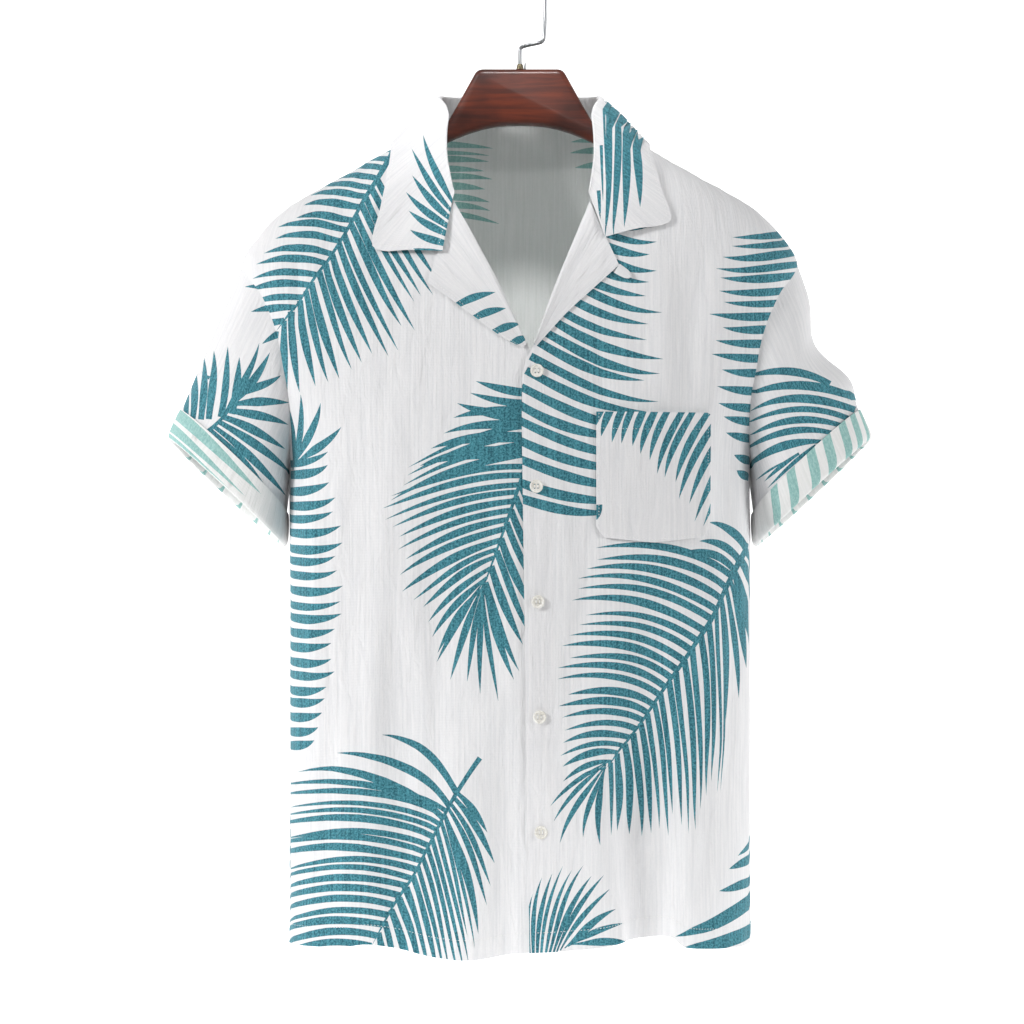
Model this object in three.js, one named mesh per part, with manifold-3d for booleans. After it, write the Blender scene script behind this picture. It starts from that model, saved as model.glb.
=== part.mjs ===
// A short-sleeved camp-collar shirt, filled out and empty, hanging from a wooden hanger.
// Millimetres, +Z up, front towards -Y. The origin is the inside top of the hook, where a rail carries it.
// Left and right are the wearer's: the right front lies on the -X side, under the left front.
import * as THREE from 'three';
import { mergeVertices } from 'three/addons/utils/BufferGeometryUtils.js';
import Module from 'manifold-3d';

const wasm = await Module();
wasm.setup();

// Cloth thickness and the clearances between its pieces
const WALL = 1.5;
const SEAM_GAP = 0.4;
const LAYER_GAP = 0.8;
const LAYER = WALL + LAYER_GAP;

// Main levels of the body
const NECK_POINT_Z = -131;
const BACK_NECK_Z = -125;
const GORGE_Z = -203;
const HEM_Z = -846;

// Armhole: an upright ellipse on the side of the body
const ARMHOLE_Z = -338;
const ARMHOLE_HALF_HEIGHT = 86;
const ARMHOLE_HALF_DEPTH = 58;
const ARMHOLE_STEPS = 10;

// Mesh density of the panels
const FRONT_COLUMNS = 11;
const BACK_COLUMNS = 20;

// Sections of the body: half width, depth to the front and to the back, and squareness of the curve
const BODY = [
  { z: -125, half: 70, front: 24, back: 46, power: 2.1 },
  { z: -131, half: 78, front: 31, back: 49, power: 2.1 },
  { z: -150, half: 112, front: 49, back: 60, power: 2.1 },
  { z: -172, half: 150, front: 63, back: 71, power: 2.2 },
  { z: -193, half: 188, front: 72, back: 80, power: 2.25 },
  { z: -205, half: 207, front: 76, back: 84, power: 2.3 },
  { z: -225, half: 227, front: 83, back: 90, power: 2.4 },
  { z: -252, half: 244, front: 90, back: 96, power: 2.5 },
  { z: -283, half: 238, front: 97, back: 101, power: 2.5 },
  { z: -340, half: 228, front: 104, back: 105, power: 2.5 },
  { z: -371, half: 217, front: 106, back: 106, power: 2.5 },
  { z: -400, half: 207, front: 107, back: 107, power: 2.5 },
  { z: -424, half: 202.5, front: 107, back: 107, power: 2.5 },
  { z: -460, half: 202, front: 107, back: 106, power: 2.5 },
  { z: -600, half: 202, front: 106, back: 104, power: 2.5 },
  { z: -850, half: 202, front: 103, back: 101, power: 2.6 },
];

// Largest folds of the body. Each runs from (x0, z0) to (x1, z1); a negative depth is a trough.
const FOLDS = [
  { face: 'front', x0: 184, z0: -325, x1: 178, z1: -500, width: 13, depth: -6 },
  { face: 'front', x0: 66, z0: -590, x1: 44, z1: -860, width: 27, depth: 5 },
  { face: 'front', x0: 96, z0: -610, x1: 116, z1: -860, width: 22, depth: -13 },
  { face: 'front', x0: 138, z0: -690, x1: 142, z1: -860, width: 13, depth: 6 },
  { face: 'front', x0: -100, z0: -540, x1: -114, z1: -860, width: 16, depth: -8 },
  { face: 'front', x0: -142, z0: -330, x1: -138, z1: -780, width: 20, depth: -4 },
  { face: 'front', x0: -55, z0: -640, x1: -60, z1: -860, width: 26, depth: 5 },
  { face: 'back', x0: -92, z0: -290, x1: -104, z1: -860, width: 24, depth: -8 },
  { face: 'back', x0: 8, z0: -190, x1: 14, z1: -620, width: 20, depth: -5 },
  { face: 'back', x0: 88, z0: -310, x1: 110, z1: -860, width: 24, depth: -9 },
  { face: 'back', x0: 40, z0: -560, x1: 30, z1: -860, width: 26, depth: 5 },
];

// Hem of the fronts: how far the edge drops below its level, across the shirt
const FRONT_HEM = [
  { x: -203, drop: 0 },
  { x: -150, drop: -4 },
  { x: -112, drop: -14 },
  { x: -72, drop: 2 },
  { x: -30, drop: 1 },
  { x: 10, drop: -4 },
  { x: 70, drop: -8 },
  { x: 128, drop: -15 },
  { x: 142, drop: -2 },
  { x: 203, drop: 0 },
];

const HEM_WAVE_HEIGHT = 170;

// Free edges of the two fronts, seen from the front: neck seam, roll line, then the straight edge
const RIGHT_FRONT_EDGE = [
  { z: -131, x: -68 },
  { z: -150, x: -67 },
  { z: -175, x: -63 },
  { z: -203, x: -57 },
  { z: -227, x: -44 },
  { z: -280, x: -16 },
  { z: -334, x: 9 },
  { z: -352, x: 20 },
  { z: -372, x: 27 },
  { z: -430, x: 28 },
  { z: -850, x: 30 },
];
const LEFT_FRONT_EDGE = [
  { z: -131, x: 68 },
  { z: -150, x: 67 },
  { z: -175, x: 64 },
  { z: -205, x: 59 },
  { z: -225, x: 51 },
  { z: -280, x: 28.5 },
  { z: -327, x: 11.7 },
  { z: -342, x: 4.5 },
  { z: -362, x: 1.5 },
  { z: -450, x: 2 },
  { z: -850, x: 8 },
];

// The left front lies one layer higher where it covers the right one, and eases down beyond it
const COVER_FULL_X = 33;
const COVER_END_X = 52;
const COVER_TOP_Z = -290;
const COVER_FULL_Z = -325;

// Lapels, seen from the front: the outer edge from the corner down to the tip
const LAPELS = {
  right: {
    corner: { x: -78.5, z: -275 },
    edge: [{ x: -46, z: -299 }, { x: -16.5, z: -321 }],
    tip: { x: 2.5, z: -331 },
    rollEnd: -325,
  },
  left: {
    corner: { x: 84, z: -260 },
    edge: [{ x: 61, z: -281 }, { x: 39, z: -301.5 }],
    tip: { x: 13.5, z: -330 },
    rollEnd: -325,
  },
};
const LAPEL_ROWS = 9;
const LAPEL_COLUMNS = 5;

// Collar: seam along the neckline, fold above it, outer edge lying on the body.
// Along is 0 at the centre back, 0.5 at the neck point and 1 at the front end.
const COLLAR_FALL = {
  right: [
    { along: 0.5, x: -110, z: -150 },
    { along: 0.62, x: -113, z: -176 },
    { along: 0.74, x: -120, z: -212 },
    { along: 0.84, x: -125, z: -245 },
    { along: 0.92, x: -96, z: -248 },
    { along: 1, x: -66, z: -249 },
  ],
  left: [
    { along: 0.5, x: 110, z: -150 },
    { along: 0.62, x: 115, z: -170 },
    { along: 0.74, x: 122, z: -196 },
    { along: 0.84, x: 128, z: -222 },
    { along: 0.92, x: 101, z: -229 },
    { along: 1, x: 72, z: -237 },
  ],
};
const COLLAR_STAND = 28;
const COLLAR_STAND_END = 7;
const COLLAR_BACK_FALL_Z = -164;
const COLLAR_COLUMNS = 36;
const COLLAR_OVER_LAPEL = 3.4;
const COLLAR_LIE = 1.2;
const COLLAR_SHOULDER_LIE = 2;
const NECK_TURN = 0.0556;

// Sleeves: the turned-up end seen from the front, as its two ends, and its half depth
const SLEEVE_END = {
  outer: { x: 307.5, z: -406 },
  inner: { x: 207.5, z: -499 },
  halfDepth: 53,
  frontRise: 6,
};
const SLEEVE_RINGS = 7;
const SLEEVE_PUFF = 5;
const SLEEVE_LEAVE = 0.8;
// Folds of the sleeves: turn in degrees from the shoulder line, behind or (negative) in front of it
const SLEEVE_FOLDS = [
  { side: 'left', turn: 0, spread: 55, along: 0.42, length: 0.16, depth: -13 },
  { side: 'left', turn: 0, spread: 60, along: 0.68, length: 0.1, depth: 5 },
];
const CUFF_WIDTH = 27;
const CUFF_THICKNESS = 2.6;

// Pocket on the left front, seen from the front
const POCKET = { x0: 64.2, x1: 161.6, top: -385, bottom: -491, point: 5, corner: 9 };
const POCKET_COLUMNS = 9;
const POCKET_ROWS = 8;
const POCKET_PUFF = 1.2;

// Buttons
const BUTTON = { diameter: 11.2, thickness: 2.4, hole: 1.4, holePitch: 2.8 };
const BUTTONS = { count: 5, top: -350.6, spacing: 97.6, edgeInset: 11.5 };

// Small cloth loop that shows beside the corner of the left lapel
const LOOP = { x0: 82, z0: -263, x1: 94, z1: -270.5, width: 9 };

// Hanger
const HANGER = {
  top: -81,
  topHalf: 37.4,
  neckHalf: 64,
  shoulderSlope: 0.575,
  armEnd: 203,
  armDepth: 22,
  archTop: -129.5,
  archSide: -145,
  thickness: 18,
  bevel: 4.5,
  neckDrop: 3.5,
  hollowEnd: 125,
};
const FERRULE = { height: 5, bottom: 3.4, top: 2.2 };
const HOOK = { wire: 3.4, bend: 22.4, jogHeight: 20.5, jogRadius: 4, end: 175 };

const CLOTH = { color: 0xeeeeec, roughness: 0.9, metalness: 0 };
const PRINTED = { color: 0xdfe8e8, roughness: 0.9, metalness: 0 };
const WRONG_SIDE = { color: 0xc9dbd8, roughness: 0.95, metalness: 0 };
const SHELL_WHITE = { color: 0xf1efe8, roughness: 0.3, metalness: 0 };
const WOOD = { color: 0x5f2614, roughness: 0.35, metalness: 0 };
const STEEL = { color: 0x8e9194, roughness: 0.3, metalness: 1 };
const BRASS = { color: 0x6e6552, roughness: 0.4, metalness: 1 };

const smooth = (from, to, value) => {
  const t = Math.min(1, Math.max(0, (value - from) / (to - from)));
  return t * t * (3 - 2 * t);
};

// Smooth curve through one column of a table, against another column that rises or falls
function sample(table, key, column, value) {
  const sign = Math.sign(table[1][key] - table[0][key]);
  const last = table.length - 1;
  let i = 0;
  while (i < last - 1 && sign * (value - table[i + 1][key]) > 0) i += 1;
  const slope = (k) => {
    const a = Math.max(0, k - 1);
    const b = Math.min(last, k + 1);
    return (table[b][column] - table[a][column]) / (table[b][key] - table[a][key]);
  };
  const span = table[i + 1][key] - table[i][key];
  const t = Math.min(1, Math.max(0, (value - table[i][key]) / span));
  const t2 = t * t;
  const t3 = t2 * t;
  return (2 * t3 - 3 * t2 + 1) * table[i][column] + (t3 - 2 * t2 + t) * span * slope(i)
    + (3 * t2 - 2 * t3) * table[i + 1][column] + (t3 - t2) * span * slope(i + 1);
}

// Height of the folds over the plain body, at a place seen from the front
function foldHeight(x, z, face) {
  let height = 0;
  for (const fold of FOLDS) {
    if (fold.face !== face) continue;
    const along = (z - fold.z0) / (fold.z1 - fold.z0);
    const middle = fold.x0 + (fold.x1 - fold.x0) * along;
    const strength = smooth(0, 0.35, along) * (1 - smooth(0.8, 1, along) * (fold.z1 > HEM_Z ? 1 : 0));
    height += fold.depth * strength * Math.exp(-(((x - middle) / fold.width) ** 2));
  }
  return height;
}

// Body surface in polar form about the upright axis: angle 0 is the front, 90 degrees is +X
function bodyRadius(angle, z) {
  const isFront = Math.cos(angle) > 0;
  const power = sample(BODY, 'z', 'power', z);
  const half = sample(BODY, 'z', 'half', z);
  const depth = sample(BODY, 'z', isFront ? 'front' : 'back', z);
  const across = Math.abs(Math.sin(angle)) / half;
  const along = Math.abs(Math.cos(angle)) / depth;
  const radius = (across ** power + along ** power) ** (-1 / power);
  return radius + foldHeight(radius * Math.sin(angle), z, isFront ? 'front' : 'back');
}

function rawPoint(angle, z) {
  const radius = bodyRadius(angle, z);
  return new THREE.Vector3(radius * Math.sin(angle), -radius * Math.cos(angle), z);
}

function bodyNormal(angle, z) {
  const step = 1.5;
  const turn = 0.025;
  const down = rawPoint(angle, z - step).sub(rawPoint(angle, z + step));
  const round = rawPoint(angle + turn, z).sub(rawPoint(angle - turn, z));
  return down.cross(round).normalize();
}

function bodyPoint(angle, z, lift = 0) {
  const point = rawPoint(angle, z);
  return lift === 0 ? point : point.addScaledVector(bodyNormal(angle, z), lift);
}

// Angle at which the front of the body reaches x
function frontAngle(x, z) {
  let low = 0;
  let high = Math.PI / 2;
  for (let step = 0; step < 30; step += 1) {
    const middle = (low + high) / 2;
    const angle = Math.sign(x) * middle;
    if (Math.abs(rawPoint(angle, z).x) < Math.abs(x)) low = middle;
    else high = middle;
  }
  return Math.sign(x) * (low + high) / 2;
}

// Moves a point out along the body's normal until it clears the body by the lift
function clearBody(point, lift) {
  if (point.z > NECK_POINT_Z + 4) return point;
  for (let step = 0; step < 6; step += 1) {
    const angle = Math.atan2(point.x, -point.y);
    const normal = bodyNormal(angle, point.z);
    const gap = Math.hypot(point.x, point.y) - bodyRadius(angle, point.z);
    const distance = gap * (normal.x * Math.sin(angle) - normal.y * Math.cos(angle));
    if (distance >= lift - 0.01) return point;
    point.addScaledVector(normal, lift - distance);
  }
  return point;
}

// Angles that share a section out evenly along its length
function spanAngles(from, to, z, count) {
  const fine = 48;
  const angles = [];
  const lengths = [0];
  for (let i = 0; i <= fine; i += 1) {
    angles.push(from + (to - from) * i / fine);
    if (i > 0) lengths.push(lengths[i - 1] + rawPoint(angles[i], z).distanceTo(rawPoint(angles[i - 1], z)));
  }
  const result = [];
  for (let k = 0, i = 0; k <= count; k += 1) {
    const target = lengths[fine] * k / count;
    while (i < fine - 1 && lengths[i + 1] < target) i += 1;
    const t = (target - lengths[i]) / (lengths[i + 1] - lengths[i]);
    result.push(angles[i] + (angles[i + 1] - angles[i]) * t);
  }
  return result;
}

// Closed solid between a grid of points and the same grid moved in by the thickness.
// Rows run down and columns run anticlockwise seen from above, so that the grid faces out.
function wallGeometry(grid, { ring = false, thickness = WALL } = {}) {
  const rows = grid.length;
  const columns = grid[0].length;
  const at = (i, j) => {
    const column = ring ? (j + columns) % columns : Math.min(columns - 1, Math.max(0, j));
    return grid[Math.min(rows - 1, Math.max(0, i))][column];
  };
  const positions = [];
  const inner = rows * columns;
  for (let i = 0; i < rows; i += 1) {
    for (let j = 0; j < columns; j += 1) positions.push(...at(i, j).toArray());
  }
  for (let i = 0; i < rows; i += 1) {
    for (let j = 0; j < columns; j += 1) {
      const down = at(i + 1, j).clone().sub(at(i - 1, j));
      const round = at(i, j + 1).clone().sub(at(i, j - 1));
      const normal = down.cross(round).normalize();
      positions.push(...at(i, j).clone().addScaledVector(normal, -thickness).toArray());
    }
  }
  const faces = [];
  const quad = (a, b, c, d) => faces.push(a, b, c, a, c, d);
  const id = (i, j) => i * columns + (j % columns);
  const across = ring ? columns : columns - 1;
  for (let i = 0; i < rows - 1; i += 1) {
    for (let j = 0; j < across; j += 1) {
      quad(id(i, j), id(i + 1, j), id(i + 1, j + 1), id(i, j + 1));
      quad(inner + id(i, j), inner + id(i, j + 1), inner + id(i + 1, j + 1), inner + id(i + 1, j));
    }
  }
  for (let j = 0; j < across; j += 1) {
    quad(id(0, j), id(0, j + 1), inner + id(0, j + 1), inner + id(0, j));
    quad(id(rows - 1, j + 1), id(rows - 1, j), inner + id(rows - 1, j), inner + id(rows - 1, j + 1));
  }
  if (!ring) {
    for (let i = 0; i < rows - 1; i += 1) {
      quad(id(i + 1, 0), id(i, 0), inner + id(i, 0), inner + id(i + 1, 0));
      const j = columns - 1;
      quad(id(i, j), id(i + 1, j), inner + id(i + 1, j), inner + id(i, j));
    }
  }
  const geometry = new THREE.BufferGeometry();
  geometry.setAttribute('position', new THREE.Float32BufferAttribute(positions, 3));
  geometry.setIndex(faces);
  return geometry;
}

// Angle of the armhole's edge at a level, on the front or the back, measured from that face
function armholeAngle(z, face) {
  const height = (z - ARMHOLE_Z) / ARMHOLE_HALF_HEIGHT;
  if (Math.abs(height) >= 1) return Math.PI / 2;
  const y = ARMHOLE_HALF_DEPTH * Math.sqrt(1 - height * height);
  const power = sample(BODY, 'z', 'power', z);
  const depth = sample(BODY, 'z', face, z);
  const x = sample(BODY, 'z', 'half', z) * (1 - (y / depth) ** power) ** (1 / power);
  return Math.atan2(x, y);
}

// Levels of the rows of a panel, close together at the ends of the armhole
function panelLevels() {
  const top = ARMHOLE_Z + ARMHOLE_HALF_HEIGHT;
  const bottom = ARMHOLE_Z - ARMHOLE_HALF_HEIGHT;
  const levels = [NECK_POINT_Z, -138, -149, -164, -182, -203, -224, -240];
  for (let k = 0; k <= ARMHOLE_STEPS; k += 1) {
    levels.push(ARMHOLE_Z + ARMHOLE_HALF_HEIGHT * Math.cos(Math.PI * k / ARMHOLE_STEPS));
  }
  levels[levels.length - ARMHOLE_STEPS - 1] = top - 0.01;
  levels[levels.length - 1] = bottom + 0.01;
  const lower = 12;
  for (let k = 1; k <= lower; k += 1) levels.push(bottom + (HEM_Z - bottom) * k / lower);
  return levels;
}

// How much higher the left front lies where it covers the right one
function coverLift(x, z) {
  return LAYER * (1 - smooth(COVER_FULL_X, COVER_END_X, x)) * smooth(COVER_TOP_Z, COVER_FULL_Z, z);
}

function hemDrop(x, z) {
  return sample(FRONT_HEM, 'x', 'drop', x) * smooth(HEM_Z + HEM_WAVE_HEIGHT, HEM_Z, z);
}

function sideGap(z) {
  return SEAM_GAP / 2 / sample(BODY, 'z', 'half', z);
}

function frontPanel(side) {
  const sign = side === 'right' ? -1 : 1;
  const edge = side === 'right' ? RIGHT_FRONT_EDGE : LEFT_FRONT_EDGE;
  return panelLevels().map((z) => {
    const free = frontAngle(sample(edge, 'z', 'x', z), z);
    const outer = sign * (armholeAngle(z, 'front') - sideGap(z));
    const [from, to] = side === 'right' ? [outer, free] : [free, outer];
    return spanAngles(from, to, z, FRONT_COLUMNS).map((angle) => {
      const x = rawPoint(angle, z).x;
      return bodyPoint(angle, z - hemDrop(x, z), side === 'left' ? coverLift(x, z) : 0);
    });
  });
}

// The back's top edge rises a little from the neck points to the centre
function backNeckRise(angle, z) {
  const centre = Math.cos(angle) ** 2;
  return (BACK_NECK_Z - NECK_POINT_Z) * centre * smooth(-200, NECK_POINT_Z, z);
}

function backPanel() {
  return panelLevels().map((z) => {
    const edge = armholeAngle(z, 'back') - sideGap(z);
    return spanAngles(Math.PI - edge, Math.PI + edge, z, BACK_COLUMNS)
      .map((angle) => bodyPoint(angle, z + backNeckRise(angle, z)));
  });
}

// Lapel: turned back along the roll line, lying on its front
function lapelGrid(side) {
  const shape = LAPELS[side];
  const edge = side === 'right' ? RIGHT_FRONT_EDGE : LEFT_FRONT_EDGE;
  const outline = new THREE.CatmullRomCurve3(
    [shape.corner, ...shape.edge, shape.tip].map((p) => new THREE.Vector3(p.x, 0, p.z)), false, 'chordal');
  const rows = [];
  for (let i = 0; i <= LAPEL_ROWS; i += 1) {
    const down = i / LAPEL_ROWS;
    const rollZ = GORGE_Z - 2 + (shape.rollEnd - GORGE_Z) * down;
    const roll = new THREE.Vector3(sample(edge, 'z', 'x', rollZ), 0, rollZ);
    const outer = outline.getPoint(down);
    const row = [];
    for (let j = 0; j <= LAPEL_COLUMNS; j += 1) {
      const out = j / LAPEL_COLUMNS;
      const place = roll.clone().lerp(outer, out);
      const puff = 2.5 * (1 - smooth(0, 0.45, out)) * (1 - 0.5 * down);
      const cover = side === 'left' ? coverLift(place.x, place.z) : 0;
      row.push(bodyPoint(frontAngle(place.x, place.z), place.z, cover + LAYER + puff));
    }
    rows.push(side === 'right' ? row.reverse() : row);
  }
  return rows;
}

// Collar: rows run from the neck seam up the stand, over the fold and down the fall
function collarColumn(side, along) {
  const sign = side === 'right' ? -1 : 1;
  const isBack = along <= 0.5;
  const back = 1 - smooth(0.42, 0.6, along);
  const edgeTable = side === 'right' ? RIGHT_FRONT_EDGE : LEFT_FRONT_EDGE;
  let angle = Math.PI - Math.PI * along;
  let level = NECK_POINT_Z + backNeckRise(angle, NECK_POINT_Z);
  if (!isBack) {
    const across = Math.min(1, (along - 0.5) / NECK_TURN);
    const down = Math.max(0, along - 0.5 - NECK_TURN) / (0.5 - NECK_TURN);
    level = NECK_POINT_Z + (GORGE_Z + 6 - NECK_POINT_Z) * down;
    const inner = frontAngle(sign * (sample(edgeTable, 'z', 'x', level) - sign * SEAM_GAP * 2 * down), level);
    angle = Math.PI / 2 + (inner - Math.PI / 2) * across;
  }
  const seam = rawPoint(sign * angle, level);
  const radial = new THREE.Vector3(seam.x, seam.y, 0).normalize();
  seam.addScaledVector(radial, -WALL * back);
  seam.z += (SEAM_GAP + 0.3) * Math.max(back, 0.4);
  const lean = new THREE.Vector3(-0.3 * radial.x, -0.2 * radial.y, 1).normalize();
  const forward = new THREE.Vector3(-sign * 0.35, -1, 0.45).normalize();
  const rise = lean.clone().multiplyScalar(back).addScaledVector(forward, 1 - back).normalize();
  const stand = COLLAR_STAND_END + (COLLAR_STAND - COLLAR_STAND_END) * (1 - smooth(0.45, 0.85, along));
  const fold = seam.clone().addScaledVector(rise, stand);

  let edge;
  const overLapel = smooth(0.84, 0.95, along) * COLLAR_OVER_LAPEL;
  const atShoulder = smooth(0.3, 0.5, along) * (1 - smooth(0.5, 0.72, along));
  const lie = WALL + COLLAR_LIE + overLapel + COLLAR_SHOULDER_LIE * atShoulder;
  if (isBack) {
    const z = COLLAR_BACK_FALL_Z + (COLLAR_FALL[side][0].z - COLLAR_BACK_FALL_Z) * smooth(0.1, 0.5, along);
    edge = bodyPoint(sign * angle, z, lie);
  } else {
    const x = sample(COLLAR_FALL[side], 'along', 'x', along);
    const z = sample(COLLAR_FALL[side], 'along', 'z', along);
    edge = bodyPoint(frontAngle(x, z), z, lie);
  }
  const out = edge.clone().sub(seam);
  const aside = out.clone().addScaledVector(rise, -out.dot(rise)).normalize();
  const column = [
    seam,
    seam.clone().lerp(fold, 0.6),
    fold.clone().addScaledVector(rise, -1.2).addScaledVector(aside, 0.6),
    fold.clone().addScaledVector(aside, 2.6),
    fold.clone().addScaledVector(rise, -1.6).addScaledVector(aside, 5),
  ];
  const crest = column[4];
  const fallRows = 5;
  for (let k = 1; k <= fallRows; k += 1) {
    const t = k / fallRows;
    const bow = 3.5 * Math.sin(Math.PI * t);
    const point = crest.clone().lerp(edge, t).addScaledVector(aside, bow * 0.5);
    column.push(clearBody(point, lie));
  }
  return column;
}

function collarGrid() {
  const columns = [];
  for (let k = 0; k <= COLLAR_COLUMNS; k += 1) {
    const place = 2 * k / COLLAR_COLUMNS - 1;
    columns.push(collarColumn(place < 0 ? 'left' : 'right', Math.abs(place)));
  }
  return columns[0].map((unused, i) => columns.map((column) => column[i]));
}

// Places round a sleeve, from the shoulder round to the underarm and back
function sleevePlaces(side) {
  const faces = side === 'left' ? ['back', 'front'] : ['front', 'back'];
  const places = [];
  for (let k = 0; k < 2 * ARMHOLE_STEPS; k += 1) {
    const step = k <= ARMHOLE_STEPS ? k : 2 * ARMHOLE_STEPS - k;
    places.push({ face: faces[k <= ARMHOLE_STEPS ? 0 : 1], turn: Math.PI * step / ARMHOLE_STEPS });
  }
  return places;
}

// Point of a sleeve: along is 0 at the armhole and 1 at its turned-up end
function sleevePoint(side, place, along) {
  const sign = side === 'right' ? -1 : 1;
  const toFace = place.face === 'front' ? -1 : 1;
  const z = ARMHOLE_Z + ARMHOLE_HALF_HEIGHT * Math.cos(place.turn);
  const armhole = armholeAngle(z, place.face);
  const start = bodyPoint(sign * (place.face === 'front' ? armhole : Math.PI - armhole), z);
  const { outer, inner, halfDepth, frontRise } = SLEEVE_END;
  const out = Math.cos(place.turn);
  const deep = Math.sin(place.turn);
  const end = new THREE.Vector3(
    sign * ((outer.x + inner.x) / 2 + (outer.x - inner.x) / 2 * out + toFace * frontRise / 3 * deep),
    toFace * halfDepth * deep,
    (outer.z + inner.z) / 2 + (outer.z - inner.z) / 2 * out - toFace * frontRise * deep,
  );
  const leave = end.clone().sub(start).normalize();
  leave.x += sign * SLEEVE_LEAVE;
  start.addScaledVector(leave.normalize(), SEAM_GAP * 1.5);
  const point = start.lerp(end, along);
  point.y += toFace * SLEEVE_PUFF * deep * Math.sin(Math.PI * along);
  for (const fold of SLEEVE_FOLDS) {
    if (fold.side !== side) continue;
    const round = THREE.MathUtils.radToDeg(place.turn) * toFace - fold.turn;
    const reach = (round / fold.spread) ** 2 + ((along - fold.along) / fold.length) ** 2;
    const height = fold.depth * Math.exp(-reach);
    point.x += sign * height * 0.93;
    point.z += height * 0.37;
  }
  return point;
}

function sleeveGrid(side) {
  const rows = [];
  for (let i = 0; i <= SLEEVE_RINGS; i += 1) {
    rows.push(sleevePlaces(side).map((place) => sleevePoint(side, place, i / SLEEVE_RINGS)));
  }
  return rows;
}

// Cuff: the turned-up end, a double layer round the outside of the sleeve
function cuffGrid(side) {
  const places = sleevePlaces(side);
  const count = places.length;
  const rows = [];
  const rings = 3;
  for (let i = 0; i <= rings; i += 1) {
    const row = places.map((place, k) => {
      const length = sleevePoint(side, place, 1).distanceTo(sleevePoint(side, place, 0));
      const along = 1 - CUFF_WIDTH / length * (1 - i / rings);
      const point = sleevePoint(side, place, along);
      const down = sleevePoint(side, place, along + 0.02).sub(sleevePoint(side, place, along - 0.02));
      const next = sleevePoint(side, places[(k + 1) % count], along);
      const before = sleevePoint(side, places[(k + count - 1) % count], along);
      const normal = down.cross(next.sub(before)).normalize();
      return point.addScaledVector(normal, CUFF_THICKNESS + SEAM_GAP);
    });
    rows.push(row);
  }
  return rows;
}

function pocketGrid() {
  const width = POCKET.x1 - POCKET.x0;
  const rows = [];
  for (let i = 0; i <= POCKET_ROWS; i += 1) {
    const down = i / POCKET_ROWS;
    const level = POCKET.top + (POCKET.bottom - POCKET.top) * down;
    const from = frontAngle(POCKET.x0, level);
    const to = frontAngle(POCKET.x1, level);
    rows.push(spanAngles(from, to, level, POCKET_COLUMNS).map((angle, j) => {
      const across = j / POCKET_COLUMNS;
      const toSide = Math.min(across, 1 - across) * width;
      const corner = POCKET.corner * (1 - Math.min(1, toSide / POCKET.corner)) ** 2;
      const point = POCKET.point * Math.min(1, toSide / (width / 2));
      const z = level + (corner - point) * down;
      const puff = POCKET_PUFF * Math.sin(Math.PI * across) * (1 - down) ** 2;
      return bodyPoint(angle, z, LAYER + puff);
    }));
  }
  return rows;
}

function loopGrid() {
  const rows = [];
  const steps = 3;
  for (let i = 0; i <= steps; i += 1) {
    const along = i / steps;
    const half = LOOP.width / 2 * (1 - 0.35 * along * along);
    const row = [];
    for (let j = 0; j <= 2; j += 1) {
      const x = LOOP.x0 + (LOOP.x1 - LOOP.x0) * along + half * (j - 1) * 0.53;
      const z = LOOP.z0 + (LOOP.z1 - LOOP.z0) * along + half * (j - 1) * 0.85;
      row.push(bodyPoint(frontAngle(x, z), z, LAYER));
    }
    rows.push(row.reverse());
  }
  return rows;
}

function toManifold(geometry) {
  const bare = geometry.clone();
  bare.deleteAttribute('normal');
  bare.deleteAttribute('uv');
  const merged = mergeVertices(bare, 1e-4);
  return new wasm.Manifold(new wasm.Mesh({
    numProp: 3,
    vertProperties: new Float32Array(merged.attributes.position.array),
    triVerts: new Uint32Array(merged.index.array),
  }));
}

function toGeometry(solid) {
  const mesh = solid.getMesh();
  const geometry = new THREE.BufferGeometry();
  geometry.setAttribute('position', new THREE.Float32BufferAttribute(mesh.vertProperties, 3));
  geometry.setIndex([...mesh.triVerts]);
  return geometry;
}

// Button: a dished disc with a rounded rim and four holes, its axis along Y
function buttonGeometry() {
  const radius = BUTTON.diameter / 2;
  const half = BUTTON.thickness / 2;
  const dish = half - 0.7;
  const profile = [
    [0, -half], [radius - 1, -half], [radius, 0], [radius - 0.7, half], [radius - 1.6, half],
    [radius - 2.2, dish], [0, dish],
  ].map(([x, y]) => new THREE.Vector2(x, y));
  let solid = toManifold(new THREE.LatheGeometry(profile, 20));
  for (const [x, z] of [[1, 1], [1, -1], [-1, 1], [-1, -1]]) {
    const hole = new THREE.CylinderGeometry(BUTTON.hole / 2, BUTTON.hole / 2, BUTTON.thickness * 2, 6);
    hole.translate(x * BUTTON.holePitch / 2, 0, z * BUTTON.holePitch / 2);
    solid = solid.subtract(toManifold(hole));
  }
  return toGeometry(solid);
}

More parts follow.
